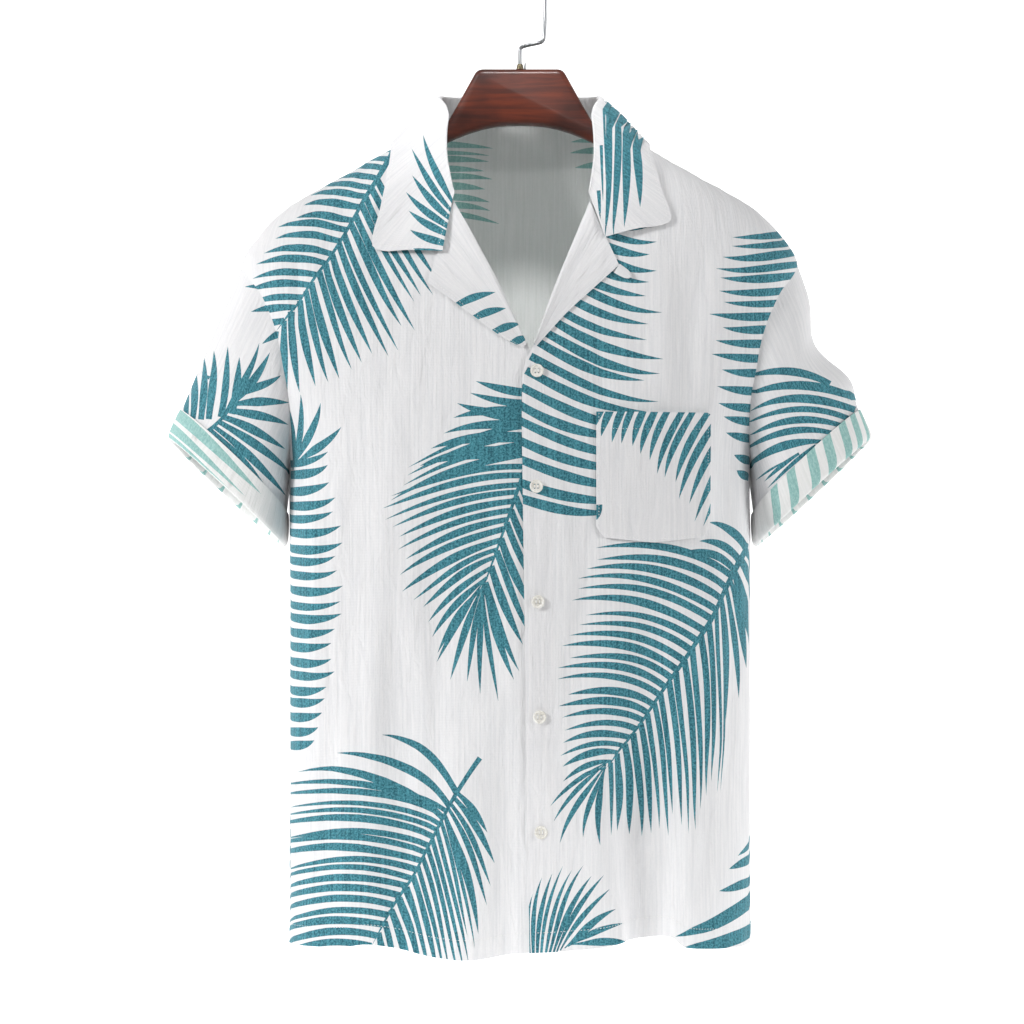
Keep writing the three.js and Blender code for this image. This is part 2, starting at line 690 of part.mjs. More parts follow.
function hangerGeometry() {
  const { top, topHalf, neckHalf, neckDrop, hollowEnd, shoulderSlope, armEnd, armDepth } = HANGER;
  const { archTop, archSide, thickness, bevel } = HANGER;
  const shoulderAt = (x) => NECK_POINT_Z - WALL / Math.cos(Math.atan(shoulderSlope)) - SEAM_GAP
    - (x - sample(BODY, 'z', 'half', NECK_POINT_Z)) * shoulderSlope;
  const shape = new THREE.Shape();
  const corner = 5;
  const endZ = shoulderAt(armEnd);
  shape.moveTo(-topHalf + corner, top);
  shape.lineTo(topHalf - corner, top);
  shape.quadraticCurveTo(topHalf, top, topHalf + corner * 0.5, top - corner * 0.87);
  shape.lineTo(neckHalf, shoulderAt(neckHalf) - neckDrop);
  shape.quadraticCurveTo(hollowEnd * 0.75, shoulderAt(hollowEnd * 0.75), hollowEnd, shoulderAt(hollowEnd));
  shape.lineTo(armEnd - armDepth * 0.4, shoulderAt(armEnd - armDepth * 0.4));
  shape.quadraticCurveTo(armEnd + 2, endZ - 2, armEnd, endZ - armDepth * 0.6);
  shape.quadraticCurveTo(armEnd - 3, endZ - armDepth, armEnd - armDepth * 0.7, endZ - armDepth * 0.75);
  shape.lineTo(neckHalf + 4, archSide - 2);
  shape.quadraticCurveTo(neckHalf / 2, archTop + 1, 0, archTop);
  shape.quadraticCurveTo(-neckHalf / 2, archTop + 1, -neckHalf - 4, archSide - 2);
  shape.lineTo(-armEnd + armDepth * 0.7, endZ - armDepth * 0.75);
  shape.quadraticCurveTo(-armEnd + 3, endZ - armDepth, -armEnd, endZ - armDepth * 0.6);
  shape.quadraticCurveTo(
    -armEnd - 2, endZ - 2, -armEnd + armDepth * 0.4, shoulderAt(armEnd - armDepth * 0.4));
  shape.lineTo(-hollowEnd, shoulderAt(hollowEnd));
  shape.quadraticCurveTo(
    -hollowEnd * 0.75, shoulderAt(hollowEnd * 0.75), -neckHalf, shoulderAt(neckHalf) - neckDrop);
  shape.lineTo(-topHalf - corner * 0.5, top - corner * 0.87);
  shape.quadraticCurveTo(-topHalf, top, -topHalf + corner, top);
  const geometry = new THREE.ExtrudeGeometry(shape, {
    depth: thickness - 2 * bevel,
    bevelThickness: bevel,
    bevelSize: bevel,
    bevelOffset: -bevel,
    bevelSegments: 2,
    curveSegments: 6,
  });
  geometry.translate(0, 0, -thickness / 2 + bevel);
  geometry.rotateX(Math.PI / 2);
  return toGeometry(toManifold(geometry));
}

// Hook: wire that stands on the ferrule, jogs aside and bends over the rail
function hookGeometry() {
  const { wire, bend, jogHeight, jogRadius, end } = HOOK;
  const foot = HANGER.top + SEAM_GAP + FERRULE.height + SEAM_GAP;
  const jog = HANGER.top + jogHeight;
  const centre = wire / 2 - bend;
  const path = new THREE.Path();
  path.moveTo(0, foot);
  path.lineTo(0, jog - jogRadius);
  path.quadraticCurveTo(0, jog, jogRadius, jog + 0.7);
  path.lineTo(bend - 1.6 - jogRadius, jog + 3.2);
  path.quadraticCurveTo(bend - 1.6, jog + 3.8, bend - 1.1, jog + 3.8 + jogRadius);
  path.lineTo(bend, centre);
  path.absarc(0, centre, bend, 0, THREE.MathUtils.degToRad(end), false);
  const points = path.getSpacedPoints(60).map((p) => new THREE.Vector3(p.x, 0, p.y));
  const sides = 8;
  const section = new THREE.Shape();
  for (let k = 0; k < sides; k += 1) {
    const angle = 2 * Math.PI * k / sides;
    const draw = k === 0 ? 'moveTo' : 'lineTo';
    section[draw](wire / 2 * Math.cos(angle), wire / 2 * Math.sin(angle));
  }
  const route = new THREE.CatmullRomCurve3(points);
  const geometry = new THREE.ExtrudeGeometry(section, { steps: 56, extrudePath: route });
  return toGeometry(toManifold(geometry));
}

function ferruleGeometry() {
  const { height, bottom, top } = FERRULE;
  const geometry = new THREE.CylinderGeometry(top, bottom, height, 12);
  geometry.rotateX(Math.PI / 2);
  geometry.translate(0, 0, HANGER.top + SEAM_GAP + height / 2);
  return geometry;
}

const group = new THREE.Group();

function add(name, geometry, look) {
  const mesh = new THREE.Mesh(geometry, new THREE.MeshStandardMaterial(look));
  mesh.name = name;
  group.add(mesh);
  return mesh;
}

add('front_right', wallGeometry(frontPanel('right')), PRINTED);
add('front_left', wallGeometry(frontPanel('left')), PRINTED);
add('back', wallGeometry(backPanel()), PRINTED);
add('collar', wallGeometry(collarGrid()), PRINTED);
for (const side of ['right', 'left']) {
  add(`lapel_${side}`, wallGeometry(lapelGrid(side)), CLOTH);
  add(`sleeve_${side}`, wallGeometry(sleeveGrid(side), { ring: true }), PRINTED);
  add(`cuff_${side}`, wallGeometry(cuffGrid(side), { ring: true, thickness: CUFF_THICKNESS }), WRONG_SIDE);
}
add('pocket', wallGeometry(pocketGrid()), PRINTED);
add('loop', wallGeometry(loopGrid(), { thickness: WALL / 2 }), CLOTH);

for (let k = 0; k < BUTTONS.count; k += 1) {
  const z = BUTTONS.top - BUTTONS.spacing * k;
  const x = sample(LEFT_FRONT_EDGE, 'z', 'x', z) + BUTTONS.edgeInset;
  const angle = frontAngle(x, z);
  const lift = coverLift(x, z) + SEAM_GAP + BUTTON.thickness / 2;
  const button = add(`button_${k + 1}`, buttonGeometry(), SHELL_WHITE);
  button.position.copy(bodyPoint(angle, z, lift));
  button.quaternion.setFromUnitVectors(new THREE.Vector3(0, 1, 0), bodyNormal(angle, z));
}

add('hanger_body', hangerGeometry(), WOOD);
add('hook_ferrule', ferruleGeometry(), BRASS);
add('hook', hookGeometry(), STEEL);

export default group;
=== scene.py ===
# A short-sleeved camp-collar shirt with a palm-leaf print, hanging filled out on a wooden hanger.
# Tables are in millimetres and photo tables in pixels of the 1024 frame. Meshes are made in metres.
import math
import random

import bpy
import numpy as np
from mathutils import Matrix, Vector
from mathutils.geometry import delaunay_2d_cdt


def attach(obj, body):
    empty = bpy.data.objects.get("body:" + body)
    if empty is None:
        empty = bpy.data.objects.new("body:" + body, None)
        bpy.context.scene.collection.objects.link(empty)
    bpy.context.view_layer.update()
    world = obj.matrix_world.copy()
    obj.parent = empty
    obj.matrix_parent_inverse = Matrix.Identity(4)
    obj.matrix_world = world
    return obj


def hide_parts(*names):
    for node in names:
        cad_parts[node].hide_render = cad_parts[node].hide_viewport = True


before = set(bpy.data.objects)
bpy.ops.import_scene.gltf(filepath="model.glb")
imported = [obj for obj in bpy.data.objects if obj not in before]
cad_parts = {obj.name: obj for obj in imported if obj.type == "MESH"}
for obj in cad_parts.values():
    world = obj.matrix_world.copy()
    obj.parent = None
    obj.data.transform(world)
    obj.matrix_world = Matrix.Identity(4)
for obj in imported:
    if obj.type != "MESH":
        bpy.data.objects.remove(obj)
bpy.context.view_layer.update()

MM = 0.001

# Wooden hanger
# A flat shaped hanger sawn from one board of hardwood, its edges rounded over, stained reddish brown and
# lacquered. Its broad neck shows above the collar, and its arms lie inside the shoulders.
bpy.ops.object.select_all(action="DESELECT")


def linear(hex_colour):
    """sRGB hex colour as linear red, green, blue and alpha."""
    parts = [int(hex_colour[i:i + 2], 16) / 255 for i in (0, 2, 4)]
    return [p / 12.92 if p <= 0.04045 else ((p + 0.055) / 1.055) ** 2.4 for p in parts] + [1.0]


def add_node(material, kind, settings=None, inputs=None):
    """Adds a node with its own settings, and with numbers, colours or links on its inputs."""
    tree = material.node_tree
    made = tree.nodes.new(kind)
    for name, value in (settings or {}).items():
        if name == "stops":
            ramp = made.color_ramp
            ramp.elements[0].position, ramp.elements[0].color = value[0]
            ramp.elements[1].position, ramp.elements[1].color = value[1]
            for place, colour in value[2:]:
                ramp.elements.new(place).color = colour
        else:
            setattr(made, name, value)
    for name, value in (inputs or {}).items():
        if isinstance(value, bpy.types.NodeSocket):
            tree.links.new(value, made.inputs[name])
        else:
            made.inputs[name].default_value = value
    return made


def new_material(name, **numbers):
    """Material with one Principled shader, its numbers set on the shader's own sockets."""
    material = bpy.data.materials.new(name)
    material.use_nodes = True
    shader = material.node_tree.nodes["Principled BSDF"]
    for socket, value in numbers.items():
        shader.inputs[socket.replace("_", " ")].default_value = value
    return material, shader


# Stained beech: streaks along the board about 6 mm apart, darker pores, and a satin lacquer over them
stained_beech, shader = new_material(
    "stained_beech", Roughness=0.4, Coat_Weight=0.12, Coat_Roughness=0.2)
coords = add_node(stained_beech, "ShaderNodeTexCoord")
board = add_node(stained_beech, "ShaderNodeMapping", None,
                 {"Vector": coords.outputs["Object"], "Scale": (9, 60, 150)})
streak = add_node(stained_beech, "ShaderNodeTexNoise", None,
                  {"Vector": board.outputs["Vector"], "Scale": 1.0, "Detail": 6, "Roughness": 0.62,
                   "Distortion": 0.6})
pores = add_node(stained_beech, "ShaderNodeMapping", None,
                 {"Vector": coords.outputs["Object"], "Scale": (55, 500, 900)})
pore = add_node(stained_beech, "ShaderNodeTexNoise", None,
                {"Vector": pores.outputs["Vector"], "Scale": 1.0, "Detail": 3})
cloud = add_node(stained_beech, "ShaderNodeTexNoise", None,
                 {"Vector": coords.outputs["Object"], "Scale": 22, "Detail": 3})
stain = add_node(stained_beech, "ShaderNodeValToRGB",
                 {"stops": [(0.28, linear("2C1008")), (0.72, linear("6C2B13")), (0.5, linear("4E1D0D"))]},
                 {"Fac": streak.outputs["Fac"]})
blotch = add_node(stained_beech, "ShaderNodeMix", {"data_type": "RGBA", "blend_type": "MULTIPLY"},
                  {6: stain.outputs["Color"], 7: linear("6E4E40")})
patch = add_node(stained_beech, "ShaderNodeMapRange", None,
                 {"Value": cloud.outputs["Fac"], "From Min": 0.42, "From Max": 0.68, "To Max": 0.7})
stained_beech.node_tree.links.new(patch.outputs["Result"], blotch.inputs[0])
stained_beech.node_tree.links.new(blotch.outputs[2], shader.inputs["Base Color"])
relief = add_node(stained_beech, "ShaderNodeBump", None,
                  {"Height": pore.outputs["Fac"], "Strength": 0.12, "Distance": 0.0004})
stained_beech.node_tree.links.new(relief.outputs["Normal"], shader.inputs["Normal"])


def finish_piece(piece, slot, *nodes):
    """Puts the piece on the body it rides on and hides the nodes that it stands for. slot is not used."""
    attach(piece, "root")
    if nodes:
        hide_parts(*nodes)


def copy_of_node(node, name, material):
    """Copy of a node's solid with its loose triangles merged."""
    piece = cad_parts[node].copy()
    piece.data = piece.data.copy()
    piece.name = name
    for key in list(piece.keys()):
        del piece[key]
    bpy.context.scene.collection.objects.link(piece)
    bpy.ops.object.select_all(action="DESELECT")
    piece.select_set(True)
    bpy.context.view_layer.objects.active = piece
    bpy.ops.object.mode_set(mode="EDIT")
    bpy.ops.mesh.select_all(action="SELECT")
    bpy.ops.mesh.remove_doubles(threshold=0.00001)
    bpy.ops.object.mode_set(mode="OBJECT")
    piece.data.materials.clear()
    piece.data.materials.append(material)
    return piece


hanger = copy_of_node("hanger_body", "wooden_hanger", stained_beech)
bpy.ops.object.shade_smooth_by_angle(angle=math.radians(38))
finish_piece(hanger, "hanger_wood", "hanger_body")

# Hook and its seat
# Steel wire of 3.4 mm, bright drawn, bent over the rail and jogged aside above its foot. It stands in a small
# pressed seat on the hanger's top, with the clipped end of the wire beside it.
HOOK_WIRE = 3.4
HOOK_BEND = 22.4
HOOK_FOOT_Z = -81.4
HOOK_JOG_Z = -60.5
HOOK_END_TURN = 175

drawn_steel, shader = new_material("drawn_steel_wire", Metallic=1.0, Roughness=0.3)
coords = add_node(drawn_steel, "ShaderNodeTexCoord")
draw = add_node(drawn_steel, "ShaderNodeMapping", None,
                {"Vector": coords.outputs["Object"], "Scale": (900, 900, 60)})
line = add_node(drawn_steel, "ShaderNodeTexNoise", None, {"Vector": draw.outputs["Vector"], "Scale": 1.0})
steel = add_node(drawn_steel, "ShaderNodeValToRGB",
                 {"stops": [(0.3, linear("77797B")), (0.7, linear("A9ABAD"))]}, {"Fac": line.outputs["Fac"]})
drawn_steel.node_tree.links.new(steel.outputs["Color"], shader.inputs["Base Color"])

centre = HOOK_WIRE / 2 - HOOK_BEND
corners = [(0, HOOK_FOOT_Z), (0, HOOK_JOG_Z - 4), (0.6, HOOK_JOG_Z - 1), (4, HOOK_JOG_Z + 0.7),
           (HOOK_BEND - 5.6, HOOK_JOG_Z + 3.2), (HOOK_BEND - 2.4, HOOK_JOG_Z + 4.6),
           (HOOK_BEND - 1.1, HOOK_JOG_Z + 7.8), (HOOK_BEND - 0.5, -40)]
turns = [math.radians(HOOK_END_TURN * k / 30) for k in range(31)]
corners += [(HOOK_BEND * math.cos(t), centre + HOOK_BEND * math.sin(t)) for t in turns]
curve_data = bpy.data.curves.new("wire_hook", "CURVE")
curve_data.dimensions = "3D"
curve_data.bevel_depth = HOOK_WIRE / 2 * MM
curve_data.bevel_resolution = 5
curve_data.use_fill_caps = True
spline = curve_data.splines.new("NURBS")
spline.points.add(len(corners) - 1)
for point, (x, z) in zip(spline.points, corners):
    point.co = (x * MM, 0, z * MM, 1)
spline.order_u = 3
spline.use_endpoint_u = True
spline.resolution_u = 4
hook = bpy.data.objects.new("wire_hook", curve_data)
bpy.context.scene.collection.objects.link(hook)
bpy.ops.object.select_all(action="DESELECT")
hook.select_set(True)
bpy.context.view_layer.objects.active = hook
bpy.ops.object.convert(target="MESH")
hook = bpy.context.view_layer.objects.active
hook.name = "wire_hook"
hook.data.materials.append(drawn_steel)
bpy.ops.object.shade_smooth_by_angle(angle=math.radians(40))
finish_piece(hook, "hook_steel", "hook")

# Plated brass: dull where it is pressed, slightly uneven
dull_brass, shader = new_material("dull_plated_brass", Metallic=1.0, Roughness=0.42)
coords = add_node(dull_brass, "ShaderNodeTexCoord")
tarnish = add_node(dull_brass, "ShaderNodeTexNoise", None, {"Vector": coords.outputs["Object"], "Scale": 700})
plate = add_node(dull_brass, "ShaderNodeValToRGB",
                 {"stops": [(0.3, linear("4B4437")), (0.75, linear("8A7F66"))]},
                 {"Fac": tarnish.outputs["Fac"]})
dull_brass.node_tree.links.new(plate.outputs["Color"], shader.inputs["Base Color"])


def apply_place(piece):
    """Puts a piece's place into its mesh, so that its object sits at the origin."""
    bpy.ops.object.select_all(action="DESELECT")
    piece.select_set(True)
    bpy.context.view_layer.objects.active = piece
    bpy.ops.object.transform_apply(location=True, rotation=True, scale=True)


bpy.ops.object.select_all(action="DESELECT")
bpy.ops.mesh.primitive_cone_add(vertices=40, radius1=3.4 * MM, radius2=2.3 * MM, depth=5 * MM,
                                location=(0, 0, -78.3 * MM))
ferrule = bpy.context.object
ferrule.name = "hook_seat"
apply_place(ferrule)
bevel = ferrule.modifiers.new("rounded", "BEVEL")
bevel.width = 0.5 * MM
bevel.segments = 3
bpy.ops.object.modifier_apply(modifier=bevel.name)
ferrule.data.materials.append(dull_brass)
bpy.ops.object.shade_smooth_by_angle(angle=math.radians(40))
finish_piece(ferrule, "ferrule_brass", "hook_ferrule")

bpy.ops.object.select_all(action="DESELECT")
bpy.ops.mesh.primitive_cylinder_add(vertices=16, radius=0.9 * MM, depth=6.5 * MM,
                                    location=(4.4 * MM, 0, -78.2 * MM))
wire_end = bpy.context.object
wire_end.name = "clipped_wire_end"
apply_place(wire_end)
bevel = wire_end.modifiers.new("rounded", "BEVEL")
bevel.width = 0.35 * MM
bevel.segments = 3
bpy.ops.object.modifier_apply(modifier=bevel.name)
wire_end.data.materials.append(drawn_steel)
bpy.ops.object.shade_smooth_by_angle(angle=math.radians(40))
finish_piece(wire_end, "hook_steel")

# Fronts of the shirt
# Two panels of light cotton, each cut in one with its facing, from the neck seam and the shoulder to the hem.
# The left front lies over the right one. The cloth hangs from the shoulders in soft upright folds.
WALL = 1.5
SEAM_GAP = 0.4
LAYER_GAP = 0.8
LAYER = WALL + LAYER_GAP
CLOTH_THICKNESS = 0.8
NECK_POINT_Z = -131.0
BACK_NECK_Z = -125.0
GORGE_Z = -203.0
HEM_Z = -846.0
HEM_WAVE_HEIGHT = 170.0
ARMHOLE_Z = -338.0
ARMHOLE_HALF_HEIGHT = 86.0
ARMHOLE_HALF_DEPTH = 58.0

# Sections of the body: level, half width, depth to the front, depth to the back, squareness
BODY = np.array([
    (-125, 70, 24, 46, 2.1), (-131, 78, 31, 49, 2.1), (-150, 112, 49, 60, 2.1), (-172, 150, 63, 71, 2.2),
    (-193, 188, 72, 80, 2.25), (-205, 207, 76, 84, 2.3), (-225, 227, 83, 90, 2.4), (-252, 244, 90, 96, 2.5),
    (-283, 238, 97, 101, 2.5), (-340, 228, 104, 105, 2.5), (-371, 217, 106, 106, 2.5),
    (-400, 207, 107, 107, 2.5), (-424, 202.5, 107, 107, 2.5), (-460, 202, 107, 106, 2.5),
    (-600, 202, 106, 104, 2.5), (-850, 202, 103, 101, 2.6)])

# Folds and creases: from (x0, z0) to (x1, z1), width, height. A negative height is a trough.
FRONT_FOLDS = [
    (184, -325, 178, -500, 13, -6), (66, -590, 44, -860, 27, 5), (96, -610, 116, -860, 22, -13),
    (138, -690, 142, -860, 13, 6), (-100, -540, -114, -860, 16, -8), (-142, -330, -138, -780, 20, -4),
    (-55, -640, -60, -860, 26, 5)]
BACK_FOLDS = [
    (-92, -290, -104, -860, 24, -8), (8, -190, 14, -620, 20, -5), (88, -310, 110, -860, 24, -9),
    (40, -560, 30, -860, 26, 5)]
# Finer creases that show on the cloth alone
FRONT_CREASES = [
    (-104, -420, -112, -700, 9, -2.6), (-128, -500, -122, -840, 8, 2.2), (-84, -470, -92, -760, 10, 2.2),
    (-30, -430, -22, -640, 10, -2.6), (-160, -560, -166, -840, 9, -2.6), (-62, -350, -66, -520, 12, 2.2),
    (-14, -640, -12, -850, 11, -5.2), (-180, -420, -176, -640, 8, 2.2), (72, -300, 66, -385, 9, -2.6),
    (150, -235, 140, -400, 12, -3.4), (122, -240, 120, -380, 10, 2.4), (172, -225, 166, -330, 9, 2.2),
    (186, -520, 180, -760, 9, -2.4), (160, -500, 168, -700, 10, 2.2), (84, -690, 100, -850, 9, -4.6),
    (150, -720, 128, -850, 9, 3.4), (56, -520, 40, -640, 10, -2.0), (26, -650, 24, -850, 9, 2.0),
    (-150, -190, -168, -270, 10, -3.0), (-128, -180, -140, -260, 9, 2.2), (-196, -240, -190, -310, 7, -2.6),
    (-52, -640, -44, -850, 12, 2.6), (-66, -360, -84, -850, 27, -8.0), (112, -470, 122, -850, 24, -9.5),
    (-150, -600, -140, -850, 24, 3.0)]
BACK_CREASES = [
    (-40, -240, -52, -560, 12, 2.2), (60, -300, 52, -640, 11, -2.4), (-140, -320, -150, -700, 12, 2.0),
    (140, -360, 150, -760, 11, -2.6), (-20, -560, -36, -850, 12, -3.0), (-160, -560, -168, -850, 10, -2.4),
    (120, -540, 104, -850, 12, 2.6), (0, -660, 6, -850, 9, 1.8), (-70, -600, -66, -850, 10, 2.0),
    (172, -420, 168, -640, 9, 1.8), (-110, -190, -150, -300, 14, -2.2), (120, -190, 150, -290, 13, -2.0)]

# Hem of the fronts: how far the edge drops below its level, across the shirt
FRONT_HEM = np.array([(-203, 0), (-185, -2), (-150, -4.5), (-132, -7.5), (-112, -5), (-90, 0), (-70, 3), (-50, 4),
                      (-30, 2.6), (0, -1.6), (40, -4.6), (70, -6.5), (95, -10.5), (120, -13), (130, -12),
                      (138, -5), (150, -3), (175, -1), (203, 0)], float)
# Free edges of the fronts, seen from the front: level and x of the neck seam, roll line and straight edge
FREE_EDGE = {
    "right": np.array([(-131, -68), (-150, -67), (-175, -63), (-203, -57), (-227, -44), (-280, -16),
                       (-334, 9), (-352, 20), (-372, 27), (-430, 28), (-850, 30)], float),
    "left": np.array([(-131, 68), (-150, 67), (-175, 64), (-205, 59), (-225, 51), (-280, 28.5),
                      (-327, 11.7), (-342, 4.5), (-362, 1.5), (-450, 2), (-850, 8)], float)}


def smooth(start, end, value):
    """Soft step from 0 at start to 1 at end."""
    t = np.clip((value - start) / (end - start), 0, 1)
    return t * t * (3 - 2 * t)


def along_table(keys, values, at):
    """Smooth curve through a table's points, for keys that rise or fall evenly or not."""
    keys, values = (keys[::-1], values[::-1]) if keys[0] > keys[-1] else (keys, values)
    at = np.asarray(at, float)
    slope = np.empty(len(keys))
    slope[1:-1] = (values[2:] - values[:-2]) / (keys[2:] - keys[:-2])
    slope[0] = (values[1] - values[0]) / (keys[1] - keys[0])
    slope[-1] = (values[-1] - values[-2]) / (keys[-1] - keys[-2])
    i = np.clip(np.searchsorted(keys, at, side="right") - 1, 0, len(keys) - 2)
    span = keys[i + 1] - keys[i]
    t = np.clip((at - keys[i]) / span, 0, 1)
    return ((2 * t ** 3 - 3 * t ** 2 + 1) * values[i] + (t ** 3 - 2 * t ** 2 + t) * span * slope[i]
            + (3 * t ** 2 - 2 * t ** 3) * values[i + 1] + (t ** 3 - t ** 2) * span * slope[i + 1])


def fold_height(x, z, folds):
    """Height of the folds over the plain body, at a place seen from the front."""
    height = np.zeros_like(x)
    for x0, z0, x1, z1, width, depth in folds:
        along = (z - z0) / (z1 - z0)
        middle = x0 + (x1 - x0) * along
        fade = 1 - smooth(0.8, 1, along) if z1 > HEM_Z else 1
        height += depth * smooth(0, 0.35, along) * fade * np.exp(-((x - middle) / width) ** 2)
    return height


def body_radius(angle, z):
    """Distance of the cloth from the upright axis. Angle 0 is the front and 90 degrees is +X."""
    is_front = np.cos(angle) > 0
    power = along_table(BODY[:, 0], BODY[:, 4], z)
    half = along_table(BODY[:, 0], BODY[:, 1], z)
    depth = np.where(is_front, along_table(BODY[:, 0], BODY[:, 2], z), along_table(BODY[:, 0], BODY[:, 3], z))
    across = np.abs(np.sin(angle)) / half
    away = np.abs(np.cos(angle)) / depth
    radius = (across ** power + away ** power) ** (-1 / power)
    x = radius * np.sin(angle)
    return radius + np.where(is_front, fold_height(x, z, FRONT_FOLDS), fold_height(x, z, BACK_FOLDS))


def raw_point(angle, z):
    radius = body_radius(angle, z)
    return np.stack([radius * np.sin(angle), -radius * np.cos(angle), z + 0 * radius], -1)


def unit(vectors):
    return vectors / np.maximum(np.linalg.norm(vectors, axis=-1, keepdims=True), 1e-9)


def body_normal(angle, z):
    down = raw_point(angle, z - 1.5) - raw_point(angle, z + 1.5)
    around = raw_point(angle + 0.025, z) - raw_point(angle - 0.025, z)
    return unit(np.cross(down, around))


def body_point(angle, z, lift):
    return raw_point(angle, z) + body_normal(angle, z) * np.asarray(lift)[..., None]


def front_angle(x, z):
    """Angle at which the front of the body reaches x."""
    low = np.zeros_like(x)
    high = np.full_like(x, math.pi / 2)
    for _ in range(28):
        middle = (low + high) / 2
        short = np.abs(raw_point(np.sign(x) * middle, z)[..., 0]) < np.abs(x)
        low = np.where(short, middle, low)
        high = np.where(short, high, middle)
    return np.sign(x) * (low + high) / 2


# Length of cloth round the body from the middle of a face, by level and angle, and the way back
LEVELS = np.arange(-874.0, -117.0, 3.0)
TURNS = np.radians(np.linspace(-100, 100, 321))
LENGTHS = np.arange(-460.0, 460.1, 2.0)
ARC, TURN_AT = {}, {}
for face, middle_turn in (("front", 0.0), ("back", math.pi)):
    turn_grid, level_grid = np.meshgrid(TURNS + middle_turn, LEVELS)
    ring = raw_point(turn_grid, level_grid)
    step = np.linalg.norm(np.diff(ring, axis=1), axis=2)
    length = np.concatenate([np.zeros((len(LEVELS), 1)), np.cumsum(step, axis=1)], axis=1)
    length -= length[:, len(TURNS) // 2][:, None]
    ARC[face] = length
    TURN_AT[face] = np.array([np.interp(LENGTHS, row, TURNS) for row in length])


def look_up(table, columns, u, z):
    """Reads a table of levels and evenly spaced columns, between its points."""
    i = np.clip((z - LEVELS[0]) / (LEVELS[1] - LEVELS[0]), 0, len(LEVELS) - 1.001)
    j = np.clip((u - columns[0]) / (columns[1] - columns[0]), 0, len(columns) - 1.001)
    a, b = i.astype(int), j.astype(int)
    s, t = i - a, j - b
    return ((1 - s) * ((1 - t) * table[a, b] + t * table[a, b + 1])
            + s * ((1 - t) * table[a + 1, b] + t * table[a + 1, b + 1]))


def armhole_turn(z, face):
    """Angle of the armhole's edge from the middle of its face."""
    height = np.clip((z - ARMHOLE_Z) / ARMHOLE_HALF_HEIGHT, -1, 1)
    y = ARMHOLE_HALF_DEPTH * np.sqrt(1 - height * height)
    power = along_table(BODY[:, 0], BODY[:, 4], z)
    depth = along_table(BODY[:, 0], BODY[:, 2 if face == "front" else 3], z)
    x = along_table(BODY[:, 0], BODY[:, 1], z) * (1 - (y / depth) ** power) ** (1 / power)
    return np.arctan2(x, y)


def cover_lift(x, z):
    """How much higher the left front lies where it covers the right one."""
    return LAYER * (1 - smooth(33, 52, x)) * smooth(-290, -325, z)


def crumple(u, v, count, across, along, height, seed):
    """Small uneven ripples of the cloth, mostly upright."""
    draw = random.Random(seed)
    total = np.zeros_like(u)
    for _ in range(count):
        side = 2 * math.pi / draw.uniform(*across) * draw.choice((-1, 1))
        down = 2 * math.pi / draw.uniform(*along)
        total += draw.uniform(0.4, 1) * np.sin(side * u + down * v + draw.uniform(0, 2 * math.pi))
    return height * total / math.sqrt(count)


HEM_BAND = 18.0
FACING_WIDTH = 19.0


def front_surface(side):
    """Outer face of a front: u is the length of cloth round from the middle, v the level."""
    def place(u, v):
        angle = look_up(TURN_AT["front"], LENGTHS, u, v)
        x = raw_point(angle, v)[..., 0]
        band = 0.35 * smooth(HEM_Z + HEM_BAND + 0.8, HEM_Z + HEM_BAND - 0.8, v)
        edge = along_table(FREE_EDGE[side][:, 0], FREE_EDGE[side][:, 1], v)
        from_edge = (x - edge) * (1 if side == "left" else -1)
        facing = 0.4 * smooth(FACING_WIDTH + 1, FACING_WIDTH - 1, from_edge) * smooth(-330, -350, v)
        inside = smooth(0, 26, from_edge + 8)
        ripple = crumple(u, v, 18, (14, 42), (90, 420), 0.34, 4) * inside
        wave = crumple(u, v, 8, (40, 90), (160, 500), 0.5, 9) * inside * smooth(-230, -320, v)
        lift = fold_height(x, v, FRONT_CREASES) * inside + ripple + wave + band + facing
        if side == "left":
            lift = lift + cover_lift(x, v)
        drop = along_table(FRONT_HEM[:, 0], FRONT_HEM[:, 1], x) * smooth(HEM_Z + HEM_WAVE_HEIGHT, HEM_Z, v)
        return body_point(angle, v - drop, lift)
    return place


def front_outline(side):
    """Flat outline of a front: down the free edge, along the hem and up the side, armhole and shoulder."""
    sign = -1 if side == "right" else 1
    edge = FREE_EDGE[side]
    levels = np.arange(NECK_POINT_Z, HEM_Z, -4.0)
    levels = np.append(levels, HEM_Z)
    free = look_up(ARC["front"], TURNS, front_angle(along_table(edge[:, 0], edge[:, 1], levels), levels), levels)
    tight = ARMHOLE_Z + ARMHOLE_HALF_HEIGHT * np.cos(np.linspace(0, math.pi, 40))
    side_levels = np.concatenate([levels[levels > tight[0] + 2], tight, levels[levels < tight[-1] - 2]])
    outer = sign * look_up(ARC["front"], TURNS, armhole_turn(side_levels, "front"), side_levels)
    hem = np.linspace(free[-1], outer[-1], 60)[1:-1]
    top = np.linspace(outer[0], free[0], 6)[1:-1]
    return ([(a, b) for a, b in zip(free, levels)] + [(a, HEM_Z) for a in hem]
            + [(a, b) for a, b in zip(outer[::-1], side_levels[::-1])] + [(a, NECK_POINT_Z) for a in top])


def inside(ring, spots):
    """Which of the spots lie inside a closed outline."""
    low, high = ring.min(0), ring.max(0)
    found = np.zeros(len(spots), bool)
    near = np.nonzero(((spots >= low) & (spots <= high)).all(1))[0]
    x, y = spots[near, 0], spots[near, 1]
    odd = np.zeros(len(near), bool)
    for (x0, y0), (x1, y1) in zip(ring, np.roll(ring, -1, 0)):
        if y0 != y1:
            odd ^= ((y0 > y) != (y1 > y)) & (x < x0 + (x1 - x0) * (y - y0) / (y1 - y0))
    found[near] = odd
    return found


